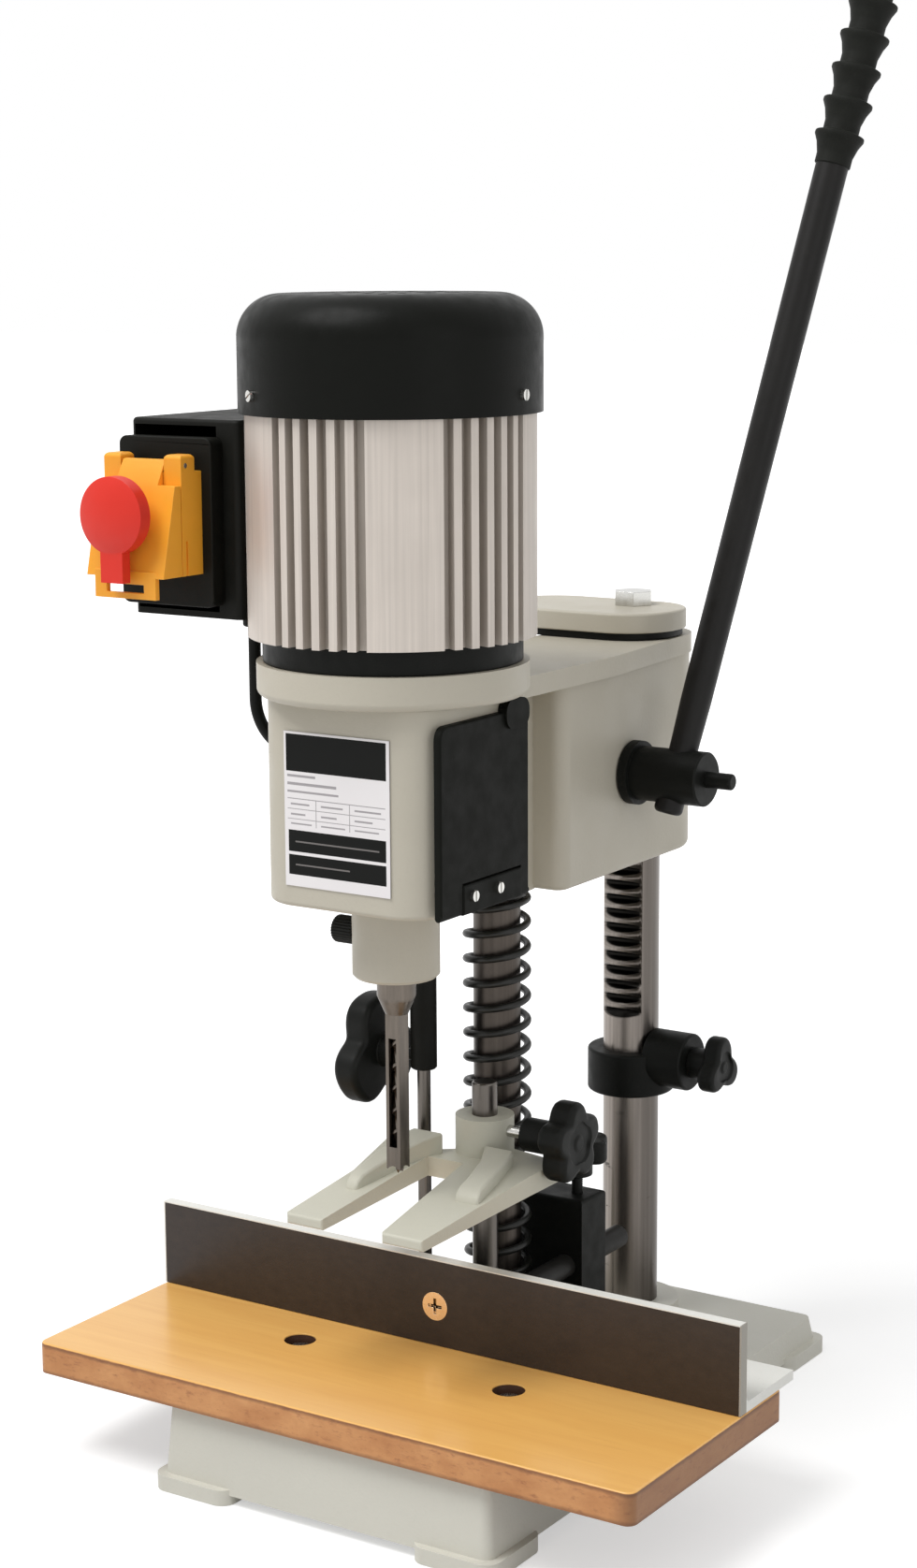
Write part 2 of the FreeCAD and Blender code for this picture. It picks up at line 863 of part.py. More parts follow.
def head_spring():
    """Round wire at a steady pitch; each quarter turn of its path is a pair of arcs."""
    bottom = spring_bottom_z + spring_wire_radius + part_gap
    top = arm_bottom_z - spring_wire_radius - part_gap
    pitch = (top - bottom) / spring_turns
    print("spring gap between turns", round(pitch - 2 * spring_wire_radius, 3))
    nodes = [helix_point(bottom, pitch, step / 4) for step in range(4 * spring_turns + 1)]
    tangents = [helix_tangent(pitch, step / 4) for step in range(4 * spring_turns + 1)]
    edges = []
    for step in range(4 * spring_turns):
        edges.extend(biarc(nodes[step], tangents[step], nodes[step + 1], tangents[step + 1]))
    return swept_tube(Part.Wire(edges), spring_wire_radius, nodes[0], tangents[0])


def swept_tube(path, radius, start, direction):
    disc = Part.Wire(Part.makeCircle(radius, start, direction))
    shell = Part.BRepOffsetAPI.MakePipeShell(path)
    shell.add(disc, False, False)
    shell.build()
    shell.makeSolid()
    return shell.shape()


def helix_point(bottom, pitch, turns):
    angle = 2 * math.pi * turns
    return Vector(spring_post_x + spring_radius * math.cos(angle),
                  spring_post_y + spring_radius * math.sin(angle), bottom + pitch * turns)


def helix_tangent(pitch, turns):
    angle = 2 * math.pi * turns
    rise = pitch / (2 * math.pi)
    return Vector(-spring_radius * math.sin(angle), spring_radius * math.cos(angle), rise).normalize()


def biarc(p0, t0, p1, t1):
    """Two arcs that meet with a common tangent between two points with given tangents."""
    span = p1 - p0
    both = t0 + t1
    a = span.dot(span)
    b = span.dot(both)
    c = 2 * (1 - t0.dot(t1))
    reach = (-b + math.sqrt(b * b + a * c)) / c
    joint = (p0 + p1 + (t0 - t1) * reach) * 0.5
    return [tangent_arc(p0, t0, joint), tangent_arc(p1, t1, joint)]


def tangent_arc(start, tangent, end):
    """Arc from start to end with the given tangent at one of them."""
    chord = end - start
    normal = chord.cross(tangent).cross(tangent).normalize() * -1
    radius = chord.dot(chord) / (2 * chord.dot(normal))
    centre = start + normal * radius
    middle = (start + end) * 0.5 - centre
    return Part.Arc(start, centre + middle.normalize() * abs(radius), end).toShape()


# Fence

def fence():
    wall = block(-fence_half_length, fence_half_length, fence_front_y, fence_back_y, fence_bottom_z,
                 fence_top_z)
    leg = block(-fence_half_length, fence_half_length, fence_front_y, fence_leg_rear_y,
                fence_bottom_z, fence_leg_top_z)
    fillet = block(-fence_half_length, fence_half_length, fence_back_y, fence_back_y + fence_inner_radius,
                   fence_leg_top_z, fence_leg_top_z + fence_inner_radius)
    fillet = fillet.cut(cross_rod(fence_inner_radius, -fence_half_length - cut_over,
                                  fence_half_length + cut_over,
                                  fence_back_y + fence_inner_radius, fence_leg_top_z + fence_inner_radius))
    fillet = fillet.cut(block(carrier_left_x, carrier_right_x, fence_back_y, fence_back_y + carrier_depth,
                              fence_leg_top_z, fence_top_z))
    solid = wall.fuse(leg).fuse(fillet).cut(post_notch(fence_bottom_z, fence_leg_top_z, fence_leg_rear_y))
    sink = Part.makeCone(fence_screw_head_radius, fence_screw_radius, fence_screw_head_depth,
                         Vector(fence_screw_x, fence_front_y, fence_screw_z), Y_AXIS)
    hole = depth_rod(fence_screw_radius + seat_fit, fence_screw_x, fence_front_y - cut_over,
                     fence_back_y + cut_over, fence_screw_z)
    return solid.cut(sink).cut(hole).removeSplitter()


def fence_screw():
    start = Vector(fence_screw_x, fence_front_y, fence_screw_z)
    head = Part.makeCone(fence_screw_head_radius - seat_fit, fence_screw_radius, fence_screw_head_depth,
                         start, Y_AXIS)
    shank = depth_rod(fence_screw_radius, fence_screw_x, fence_front_y + fence_screw_head_depth,
                      fence_front_y + fence_screw_length, fence_screw_z)
    solid = head.fuse(shank)
    for turned in (False, True):
        wide, tall = cross_slot_length / 2, cross_slot_width / 2
        if turned:
            wide, tall = tall, wide
        solid = solid.cut(block(fence_screw_x - wide, fence_screw_x + wide, fence_front_y - cut_over,
                                fence_front_y + cross_slot_depth, fence_screw_z - tall, fence_screw_z + tall))
    return solid


def fence_carrier():
    solid = block(carrier_left_x, carrier_right_x, fence_back_y, fence_back_y + carrier_depth,
                  fence_leg_top_z, fence_leg_top_z + carrier_height)
    solid = soften(solid, block_edge_radius, at_height(fence_leg_top_z + carrier_height))
    screw = depth_rod(fence_screw_radius + seat_fit, fence_screw_x, fence_back_y - cut_over,
                      fence_front_y + fence_screw_length + cut_over, fence_screw_z)
    seat = depth_rod(guide_rod_radius + seat_fit, guide_rod_x, fence_back_y + carrier_depth / 2,
                     fence_back_y + carrier_depth + cut_over, guide_rod_z)
    return solid.cut(screw).cut(seat)


def fence_guide_rod():
    return depth_rod(guide_rod_radius, guide_rod_x, fence_back_y + carrier_depth / 2, guide_rod_rear_y,
                     guide_rod_z)


def fence_guide_block():
    solid = block(block_left_x, block_right_x, block_front_y, block_rear_y, deck_top_z, block_top_z)
    solid = soften(solid, block_edge_radius, at_height(block_top_z))
    foot = block(block_left_x, block_right_x, block_rear_y, block_rear_y + block_foot_depth,
                 deck_top_z, deck_top_z + block_foot_height)
    window = front_panel(block_window_left_x, block_window_right_x, block_window_bottom_z, block_window_top_z,
                         block_front_y - cut_over, block_rear_y + cut_over, block_edge_radius)
    bore = depth_rod(guide_rod_radius + running_fit, guide_rod_x, block_front_y - cut_over,
                     block_rear_y + cut_over, guide_rod_z)
    stud = upright(fence_stud_radius + running_fit, guide_rod_x, (block_front_y + block_rear_y) / 2,
                   guide_rod_z, block_top_z + cut_over)
    solid = solid.fuse(foot).cut(window).cut(bore).cut(stud)
    for sx in (-1, 1):
        solid = solid.cut(upright(bolt_radius + seat_fit, sx * block_bolt_x,
                                  block_rear_y + block_foot_depth / 2,
                                  deck_top_z - cut_over, deck_top_z + block_foot_height + cut_over))
    return solid


def fence_block_bolts():
    bolts = []
    seat = deck_top_z + block_foot_height
    for sx in (-1, 1):
        x = sx * block_bolt_x
        y = block_rear_y + block_foot_depth / 2
        head = hexagon(bolt_head_across, x, y, seat, seat + bolt_head_height)
        bolts.append(head.fuse(upright(bolt_radius, x, y, seat - bolt_length, seat)))
    return Part.makeCompound(bolts)


def fence_lock_knob():
    x = guide_rod_x
    y = (block_front_y + block_rear_y) / 2
    base_z = block_top_z + fence_stud_reach
    knob = lobed_knob(fence_knob_radius, fence_knob_height, fence_knob_lobes, Vector(x, y, base_z), Z_AXIS,
                      fence_knob_hub_radius, fence_knob_hub_height)
    stud = upright(fence_stud_radius, x, y, guide_rod_z + guide_rod_radius + part_gap, base_z)
    return knob.fuse(stud).removeSplitter()


# Hold-down

def fork_top(y):
    """Height of the fork's top face at a place along its arms."""
    share = (y - fork_tip_y) / (fork_root_y - fork_tip_y)
    return fork_tip_top_z + (fork_root_top_z - fork_tip_top_z) * share


def fork_arm(tip_x, root_x, rear_y):
    """One arm: its plan narrows to the tip and its underside and top slope down to the tip."""
    plan = [
        Vector(tip_x[0], fork_tip_y, 0),
        Vector(tip_x[1], fork_tip_y, 0),
        Vector(root_x[1], fork_root_y, 0),
        Vector(root_x[1], rear_y, 0),
        Vector(root_x[0], rear_y, 0),
        Vector(root_x[0], fork_root_y, 0),
    ]
    x0 = min(tip_x[0], root_x[0]) - cut_over
    x1 = max(tip_x[1], root_x[1]) + cut_over
    side = [
        Vector(x0, fork_tip_y, fork_tip_bottom_z),
        Vector(x0, fork_root_y, fork_root_bottom_z),
        Vector(x0, rear_y, fork_root_bottom_z),
        Vector(x0, rear_y, fork_root_top_z),
        Vector(x0, fork_root_y, fork_root_top_z),
        Vector(x0, fork_tip_y, fork_tip_top_z),
    ]
    arm = prism(side, Vector(x1 - x0, 0, 0)).common(prism(plan, Vector(0, 0, fork_boss_top_z)))
    return soften(arm, fork_edge_radius, lambda edge: edge.BoundBox.YMax < fork_tip_y + running_fit)


def fork_rib():
    """Rib that stiffens the left arm between its middle and the boss."""
    x0 = fork_left_root_x[0] + fork_edge_radius
    points = [
        Vector(x0, fork_rib_front_y, fork_top(fork_rib_front_y) - fork_edge_radius),
        Vector(x0, fork_left_rear_y, fork_root_top_z - fork_edge_radius),
        Vector(x0, fork_left_rear_y, fork_root_top_z + fork_rib_height),
        Vector(x0, fork_root_y, fork_root_top_z + fork_rib_height),
    ]
    return prism(points, Vector(fork_rib_width, 0, 0))


def hold_down_fork():
    left = fork_arm(fork_left_tip_x, fork_left_root_x, fork_left_rear_y)
    right = fork_arm(fork_right_tip_x, fork_right_root_x, fork_right_rear_y)
    boss = upright(fork_boss_radius, hold_rod_x, hold_rod_y, fork_boss_bottom_z, fork_boss_top_z)
    web_points = [
        Vector(fork_left_root_x[1] - fork_rib_width, fork_left_rear_y, fork_root_bottom_z),
        Vector(hold_rod_x - fork_boss_radius * fork_web_side_share,
               hold_rod_y - fork_boss_radius * fork_web_front_share, fork_root_bottom_z),
        Vector(hold_rod_x, hold_rod_y + fork_boss_radius * fork_web_back_share, fork_root_bottom_z),
        Vector(fork_right_root_x[1] - fork_rib_width, fork_right_rear_y, fork_root_bottom_z),
        Vector(fork_right_root_x[0], fork_root_y, fork_root_bottom_z),
        Vector(fork_left_root_x[1] - fork_rib_width, fork_root_y, fork_root_bottom_z),
    ]
    web = prism(web_points, Vector(0, 0, fork_root_top_z - fork_root_bottom_z))
    solid = left.fuse(right).fuse(web).fuse(fork_rib()).fuse(boss)
    bore = upright(hold_rod_radius + running_fit, hold_rod_x, hold_rod_y,
                   fork_boss_bottom_z - cut_over, fork_boss_top_z + cut_over)
    screw = cross_rod(fork_screw_radius + running_fit, hold_rod_x, hold_rod_x + fork_boss_radius + cut_over,
                      hold_rod_y, fork_screw_z)
    return solid.cut(bore).cut(screw).removeSplitter()


def fork_lock_screw():
    start = hold_rod_x + hold_rod_radius + part_gap
    end = hold_rod_x + fork_boss_radius + fork_screw_bare
    return cross_rod(fork_screw_radius, start, end, hold_rod_y, fork_screw_z)


def fork_lock_knob():
    start = Vector(hold_rod_x + fork_boss_radius + fork_screw_bare, hold_rod_y, fork_screw_z)
    return lobed_knob(fork_knob_radius, fork_knob_length, fork_knob_lobes, start, X_AXIS,
                      fork_knob_hub_radius, fork_knob_hub_length)


# Depth stop collar

def depth_collar():
    """Ring on the column with a stout boss on its right for the locking screw."""
    ring = upright(collar_radius, 0, column_y, collar_bottom_z, collar_top_z)
    ring = soften(ring, collar_edge_radius, lambda edge: True)
    boss = cross_rod(collar_boss_radius, column_radius, collar_boss_end_x, column_y, collar_screw_z)
    boss = soften(boss, collar_edge_radius, lambda edge: edge.BoundBox.XMin > collar_boss_end_x - running_fit)
    bore = upright(column_radius + running_fit, 0, column_y, collar_bottom_z - cut_over,
                   collar_screw_z + collar_boss_radius + cut_over)
    screw = cross_rod(collar_screw_radius + running_fit, 0, collar_boss_end_x + cut_over, column_y,
                      collar_screw_z)
    return ring.fuse(boss).cut(bore).cut(screw).removeSplitter()


def collar_knob():
    start = Vector(collar_boss_end_x + collar_knob_gap, column_y, collar_screw_z)
    knob = lobed_knob(collar_knob_radius, collar_knob_length, collar_knob_lobes, start, X_AXIS,
                      collar_knob_hub_radius, collar_knob_hub_length)
    screw = cross_rod(collar_screw_radius, column_radius + part_gap, start.x, column_y, collar_screw_z)
    return knob.fuse(screw).removeSplitter()


# Head casting

def plate_outline(z):
    """Plan of the top plate: straight from the motor pad, then narrower towards the column."""
    half = plate_half_width
    rear = plate_rear_half_width
    return [
        Vector(-half, spindle_y, z),
        Vector(half, spindle_y, z),
        Vector(half, plate_bend_y, z),
        Vector(rear, column_y, z),
        Vector(-rear, column_y, z),
        Vector(-half, plate_bend_y, z),
    ]


def head_box(inset, z0, z1):
    """Front box of the head, or its hollow when inset by the wall."""
    x = box_half_width - inset
    solid = block(-x, x, box_front_y + inset, box_rear_y - inset, z0, z1)
    middle = (box_front_y + box_rear_y) / 2

    def front(edge):
        box = edge.BoundBox
        return box.ZLength > (z1 - z0) / 2 and box.YMax < middle

    def rear(edge):
        box = edge.BoundBox
        return box.ZLength > (z1 - z0) / 2 and box.YMin > middle
    solid = soften(solid, box_front_radius - inset, front)
    return soften(solid, max(box_rear_radius - inset, inset / 2), rear)


def head_arm():
    points = [
        Vector(-arm_half_width, arm_front_y, arm_bottom_z),
        Vector(arm_half_width, arm_front_y, arm_bottom_z),
        Vector(sleeve_radius, column_y, arm_bottom_z),
        Vector(-sleeve_radius, column_y, arm_bottom_z),
    ]
    solid = prism(points, Vector(0, 0, plate_bottom_z - arm_bottom_z))
    height = plate_bottom_z - arm_bottom_z

    def front(edge):
        box = edge.BoundBox
        return box.ZLength > height / 2 and box.YMax < arm_front_y + running_fit
    solid = soften(solid, arm_corner_radius, front)
    sleeve = upright(sleeve_radius, 0, column_y, arm_bottom_z, plate_bottom_z)
    solid = solid.fuse(sleeve).removeSplitter()
    return soften(solid, arm_edge_radius, at_height(arm_bottom_z))


def head_casting():
    solid = soften(head_box(0, box_bottom_z, pad_bottom_z), box_edge_radius, at_height(box_bottom_z))
    plate = prism(plate_outline(plate_bottom_z), Vector(0, 0, plate_thickness))
    plate = plate.fuse(upright(plate_rear_half_width, 0, column_y, plate_bottom_z, plate_top_z))
    pad = upright(pad_radius, 0, spindle_y, pad_bottom_z, pad_top_z)
    pad = soften(pad, pad_edge_radius, at_height(pad_bottom_z))
    boss = upright(chisel_boss_radius, 0, spindle_y, chisel_boss_bottom_z, box_bottom_z + box_wall)
    boss = bevel(boss, chisel_boss_chamfer, at_height(chisel_boss_bottom_z))
    spring_boss = upright(spring_boss_radius, spring_post_x, spring_post_y, arm_bottom_z, plate_bottom_z)
    neck = block(neck_left_x, neck_right_x, box_rear_y - box_wall, arm_front_y + arm_corner_radius,
                 box_bottom_z, plate_bottom_z)
    ear = upright(ear_radius, lock_rod_x, lock_rod_y, box_bottom_z, box_bottom_z + ear_height)
    ear_bridge = block(lock_rod_x, neck_left_x, lock_rod_y - ear_radius, lock_rod_y + ear_radius,
                       box_bottom_z, box_bottom_z + ear_height)
    solid = solid.fuse([plate, pad, boss, head_arm(), spring_boss, neck, ear, ear_bridge])
    return cut_head_hollows(solid.removeSplitter())


def cut_head_hollows(solid):
    side = half_pinion + gear_cavity_gap
    cuts = [
        head_box(box_wall, box_bottom_z + box_wall, plate_bottom_z),
        side_panel(door_window_front_y, door_window_rear_y, door_window_bottom_z, door_window_top_z,
                   0, box_half_width + cut_over, door_window_radius),
        upright(spindle_bore_radius, 0, spindle_y, plate_bottom_z - cut_over, pad_top_z + cut_over),
        upright(chisel_bush_radius + running_fit, 0, spindle_y, chisel_boss_bottom_z - cut_over,
                box_bottom_z + box_wall + cut_over),
        cross_rod(chisel_screw_radius + running_fit, -chisel_boss_radius - cut_over, 0, spindle_y,
                  chisel_screw_z),
        cross_rod(gear_outer_radius + gear_cavity_gap, -side, side, pinion_y, pinion_z),
        block(-side, side, pinion_y - gear_outer_radius * gear_slot_share,
              pinion_y + gear_outer_radius * gear_slot_share, arm_bottom_z - cut_over, pinion_z),
        cross_rod(pinion_shaft_radius + running_fit, -arm_half_width - cut_over, arm_half_width + cut_over,
                  pinion_y, pinion_z),
        upright(column_radius + running_fit, 0, column_y, arm_bottom_z - cut_over, plate_top_z + cut_over),
        upright(spring_post_radius + part_gap, spring_post_x, spring_post_y, arm_bottom_z - cut_over,
                spring_post_top_z + head_stroke + cut_over),
        upright(lock_rod_radius + running_fit, lock_rod_x, lock_rod_y, box_bottom_z - cut_over,
                box_bottom_z + ear_height + cut_over),
        upright(lock_sleeve_radius + seat_fit, lock_rod_x, lock_rod_y, box_bottom_z - cut_over,
                box_bottom_z + ear_height / 2),
        cross_rod(lead_radius + seat_fit, -box_half_width - cut_over, -box_half_width + box_wall + cut_over,
                  spindle_y, lead_bend_z - lead_bend_radius),
    ]
    for y in (door_screw_front_y, door_screw_rear_y):
        cuts.append(cross_rod(small_screw_radius + seat_fit, strip_face_x - small_screw_length,
                              box_half_width + cut_over, y, door_screw_z))
    for item in cuts:
        solid = solid.cut(item)
    return solid


def name_plate():
    return block(label_left_x, label_right_x, box_front_y - label_thickness, box_front_y,
                 label_bottom_z, label_top_z)


# Access door

def access_door():
    x0 = box_half_width + part_gap
    x1 = x0 + door_thickness
    corner = hinge_pin_z + door_corner_radius
    solid = side_panel(door_front_y, door_rear_y, hinge_pin_z, door_top_z, x0, x1, door_corner_radius)
    solid = solid.fuse(block(x0, x1, door_front_y, door_rear_y, hinge_pin_z, corner)).removeSplitter()
    solid = soften(solid, door_edge_radius, lambda edge: edge.BoundBox.XMin > x1 - running_fit
                   and edge.BoundBox.ZMax > corner)
    solid = solid.fuse(depth_rod(door_thickness / 2, hinge_pin_x, door_front_y, door_rear_y, hinge_pin_z))
    solid = solid.fuse(side_panel(door_tab_front_y, door_tab_rear_y, door_tab_top_z - door_tab_height,
                                  door_tab_top_z, x0, x1 + door_tab_reach, door_corner_radius))
    recess = side_panel(door_front_y + door_rim, door_rear_y - door_rim,
                        box_bottom_z + strip_height + door_rim, door_top_z - door_rim,
                        x0 - cut_over, x1 - door_wall, door_corner_radius)
    strip_room = block(x0 - cut_over, x1 + cut_over, strip_front_y - part_gap, strip_rear_y + part_gap,
                       hinge_pin_z - door_thickness, box_bottom_z + part_gap + strip_height + strip_swing_room)
    pin = depth_rod(hinge_pin_radius + running_fit, hinge_pin_x, hinge_pin_front_y - part_gap,
                    hinge_pin_rear_y + part_gap, hinge_pin_z)
    return solid.cut(recess).cut(strip_room).cut(pin).removeSplitter()


def door_hinge_strip():
    bottom = box_bottom_z + part_gap
    solid = block(box_half_width, strip_face_x, strip_front_y, strip_rear_y, bottom, bottom + strip_height)
    solid = soften(solid, hinge_pin_radius, lambda edge: edge.BoundBox.XMin > strip_face_x - running_fit)
    solid = solid.cut(depth_rod(hinge_pin_radius + seat_fit, hinge_pin_x, strip_front_y - cut_over,
                                strip_rear_y + cut_over, hinge_pin_z))
    for y in (door_screw_front_y, door_screw_rear_y):
        solid = solid.cut(cross_rod(small_screw_radius + seat_fit, box_half_width - cut_over,
                                    strip_face_x + cut_over, y, door_screw_z))
    return solid


def door_hinge_pin():
    return depth_rod(hinge_pin_radius, hinge_pin_x, hinge_pin_front_y, hinge_pin_rear_y, hinge_pin_z)


def small_screws():
    """Slotted screws: two through the hinge strip and the ones round the fan cap."""
    screws = []
    for y in (door_screw_front_y, door_screw_rear_y):
        screws.append(small_screw(Vector(strip_face_x, y, door_screw_z), X_AXIS, small_screw_length))
    for angle in cap_screw_angles():
        place = arc_point(0, spindle_y, cap_screw_z, cap_radius, angle)
        outward = place - Vector(0, spindle_y, cap_screw_z)
        length = cap_radius - cap_spigot_radius + cap_spigot_wall
        screws.append(small_screw(place, outward.normalize(), length))
    return Part.makeCompound(screws)


def small_screw(seat, outward, length):
    top = small_screw_head_height
    head = upright(small_screw_head_radius, 0, 0, 0, top)
    slot = block(-small_screw_head_radius, small_screw_head_radius, -screw_slot_width / 2,
                 screw_slot_width / 2,
                 top / 2, top + cut_over)
    solid = head.cut(slot).fuse(upright(small_screw_radius, 0, 0, -length, 0))
    solid.Placement = FreeCAD.Placement(seat, FreeCAD.Rotation(Z_AXIS, outward))
    return solid


# Rise and fall gear

def involute(radius, angle):
    """Point of an involute, as distance from the centre and turned angle."""
    return radius * math.sqrt(1 + angle * angle), angle - math.atan(angle)


def pinion_outline():
    base_radius = pinion_pitch_radius * math.cos(math.radians(pressure_angle))
    root_radius = pinion_pitch_radius - rack_module * dedendum_share
    tip_angle = math.sqrt((gear_outer_radius / base_radius) ** 2 - 1)
    pitch_angle = math.sqrt((pinion_pitch_radius / base_radius) ** 2 - 1)
    at_pitch = involute(base_radius, pitch_angle)[1]
    half_tooth = (tooth_pitch / 2 - tooth_play) / 2 / pinion_pitch_radius
    flank = []
    for step in range(flank_steps + 1):
        distance, turned = involute(base_radius, tip_angle * step / flank_steps)
        if distance > root_radius:
            flank.append((distance, half_tooth + at_pitch - turned))
    points = []
    for tooth in range(pinion_teeth):
        middle = 2 * math.pi * tooth / pinion_teeth
        points.append((root_radius, middle - flank[0][1]))
        points.extend((distance, middle - offset) for distance, offset in flank)
        points.extend((distance, middle + offset) for distance, offset in reversed(flank))
        points.append((root_radius, middle + flank[0][1]))
    return points


def pinion_gear():
    places = [Vector(-half_pinion, pinion_y + r * math.cos(a), pinion_z + r * math.sin(a))
              for r, a in pinion_outline()]
    solid = prism(places, Vector(pinion_width, 0, 0))
    for x0, x1 in ((-half_pinion - cut_over, -half_pinion + gear_web_depth),
                   (half_pinion - gear_web_depth, half_pinion + cut_over)):
        ring = cross_rod(gear_rim_radius, x0, x1, pinion_y, pinion_z)
        ring = ring.cut(cross_rod(gear_hub_radius, x0, x1, pinion_y, pinion_z))
        solid = solid.cut(ring)
    bore = cross_rod(pinion_shaft_radius + seat_fit, -half_pinion - cut_over, half_pinion + cut_over,
                     pinion_y, pinion_z)
    return solid.cut(bore)


def pinion_shaft():
    left = -arm_half_width - shaft_left_reach - shaft_clip_thickness
    right = arm_half_width + part_gap + hub_flange_thickness
    solid = cross_rod(pinion_shaft_radius, left, right, pinion_y, pinion_z)
    return bevel(solid, rod_end_chamfer, lambda edge: edge.BoundBox.XMax < left + running_fit)


def shaft_clip():
    x0 = -arm_half_width - part_gap - shaft_clip_thickness
    ring = cross_rod(shaft_clip_radius, x0, x0 + shaft_clip_thickness, pinion_y, pinion_z)
    return ring.cut(cross_rod(pinion_shaft_radius + seat_fit, x0 - cut_over,
                              x0 + shaft_clip_thickness + cut_over,
                              pinion_y, pinion_z))


# Lever

def lever_direction():
    tilt = math.radians(lever_tilt)
    back = math.radians(lever_back)
    return Vector(math.sin(tilt), math.cos(tilt) * math.sin(back), math.cos(tilt) * math.cos(back))


def lever_place(distance):
    return Vector(lever_cross_x, pinion_y, pinion_z) + lever_direction() * distance


def lever_hub():
    start = arm_half_width + part_gap
    flange = cross_rod(hub_flange_radius, start, start + hub_flange_thickness, pinion_y, pinion_z)
    body = cross_rod(hub_radius, start, hub_end_x, pinion_y, pinion_z)
    body = bevel(body, rod_end_chamfer, lambda edge: edge.BoundBox.XMin > hub_end_x - running_fit)
    solid = flange.fuse(body)
    shaft_seat = cross_rod(pinion_shaft_radius + seat_fit, start - cut_over, start + hub_flange_thickness,
                           pinion_y, pinion_z)
    lever_hole = rod(lever_radius + seat_fit, lever_place(-lever_foot * 2), lever_place(lever_foot * 2))
    pin_hole = cross_rod(hub_pin_radius + seat_fit, lever_cross_x, hub_end_x + cut_over, pinion_y, pinion_z)
    return solid.cut(shaft_seat).cut(lever_hole).cut(pin_hole).removeSplitter()


def lever_rod():
    end = grip_start + grip_length - grip_crown
    solid = rod(lever_radius, lever_place(-lever_foot), lever_place(end))
    tool = cross_rod(hub_pin_radius + seat_fit, lever_cross_x + lever_radius * hub_pin_start_share, hub_end_x,
                     pinion_y, pinion_z)
    return solid.cut(tool)


def lever_grip():
    """Rubber grip: each segment flares upwards and steps back at a shoulder."""
    end = grip_length - grip_crown
    step = end / grip_segments
    half_flare = grip_small_radius + (grip_large_radius - grip_small_radius) * grip_half_flare
    outline = [(lever_radius + seat_fit, 0), (grip_small_radius, 0)]
    for index in range(grip_segments):
        start = index * step
        outline.extend([
            (grip_small_radius, start + step * grip_flat_share),
            (half_flare, start + step * grip_half_share),
            (grip_large_radius, start + step * grip_full_share),
            (grip_large_radius, start + step * grip_edge_share),
            (grip_small_radius, start + step),
        ])
    outline.extend([(lever_radius * grip_end_share, grip_length), (0, grip_length), (0, end),
                    (lever_radius + seat_fit, end)])
    return revolve_profile(outline, lever_place(grip_start), lever_direction())


def hub_pin():
    start = lever_cross_x + lever_radius * hub_pin_start_share
    end = hub_end_x + hub_pin_reach
    pin = cross_rod(hub_pin_radius, start, end, pinion_y, pinion_z)
    return bevel(pin, rod_end_chamfer, lambda edge: edge.BoundBox.XMin > end - running_fit)


# Motor

def motor_flange():
    solid = upright(flange_radius, 0, spindle_y, flange_bottom_z, flange_top_z)
    solid = soften(solid, rod_end_chamfer, at_height(flange_bottom_z))
    seat = upright(bearing_radius + seat_fit, 0, spindle_y, flange_top_z - bearing_height,
                   flange_top_z + cut_over)
    hole = upright(bearing_radius - bearing_race, 0, spindle_y, flange_bottom_z - cut_over, flange_top_z)
    return solid.cut(seat).cut(hole)


def fin_angles():
    """Angle pairs, in degrees, of every raised band and fin round the housing."""
    sector = full_turn / fin_sectors
    free = sector - fin_band_angle
    pitch = free / (fins_per_sector + 1 - fin_share)
    pairs = []
    for index in range(fin_sectors):
        middle = fin_band_start + sector * index
        start = middle + fin_band_angle / 2
        pairs.append((start - fin_band_angle, start))
        for fin in range(fins_per_sector):
            first = start + pitch * (fin + 1 - fin_share)
            pairs.append((first, first + pitch * fin_share))
    return pairs


def motor_housing():
    z0 = flange_top_z
    top = housing_top_z
    solid = Part.Face(finned_wire(z0)).extrude(Vector(0, 0, top - z0))
    spigot = upright(cap_spigot_radius, 0, spindle_y, top, top + cap_spigot_height)
    spigot = spigot.cut(upright(cap_spigot_radius - cap_spigot_wall, 0, spindle_y, top,
                                top + cap_spigot_height + cut_over))
    bore = upright(housing_bore_radius, 0, spindle_y, z0 - cut_over, top - housing_floor)
    seat = upright(bearing_radius + seat_fit, 0, spindle_y, top - housing_floor - cut_over, top + cut_over)
    carrier = upright(bearing_radius + housing_floor, 0, spindle_y, top - bearing_height - housing_floor / 2,
                      top - housing_floor)
    carrier = carrier.cut(upright(bearing_radius + seat_fit, 0, spindle_y, z0, top))
    solid = solid.fuse(spigot).cut(bore).cut(seat).fuse(carrier).removeSplitter()
    for angle in cap_screw_angles():
        solid = solid.cut(radial_rod(small_screw_radius + seat_fit,
                                     cap_spigot_radius - cap_spigot_wall - cut_over,
                                     cap_radius, angle))
    return solid


def finned_wire(z):
    """Outline of the housing: wide bands with groups of narrow fins between them."""
    pairs = fin_angles()
    edges = []
    for index, (first, last) in enumerate(pairs):
        following = pairs[(index + 1) % len(pairs)][0]
        if following < last:
            following += full_turn
        outer = [arc_point(0, spindle_y, z, fin_radius, first + (last - first) * share) for share in arc_shares]
        inner = [arc_point(0, spindle_y, z, groove_radius, last + (following - last) * share)
                 for share in arc_shares]
        next_outer = arc_point(0, spindle_y, z, fin_radius, following)
        edges.append(Part.Arc(*outer).toShape())
        edges.append(Part.LineSegment(outer[2], inner[0]).toShape())
        edges.append(Part.Arc(*inner).toShape())
        edges.append(Part.LineSegment(inner[2], next_outer).toShape())
    return Part.Wire(edges)


def cap_screw_angles():
    return [cap_screw_first_angle + full_turn * index / cap_screws for index in range(cap_screws)]


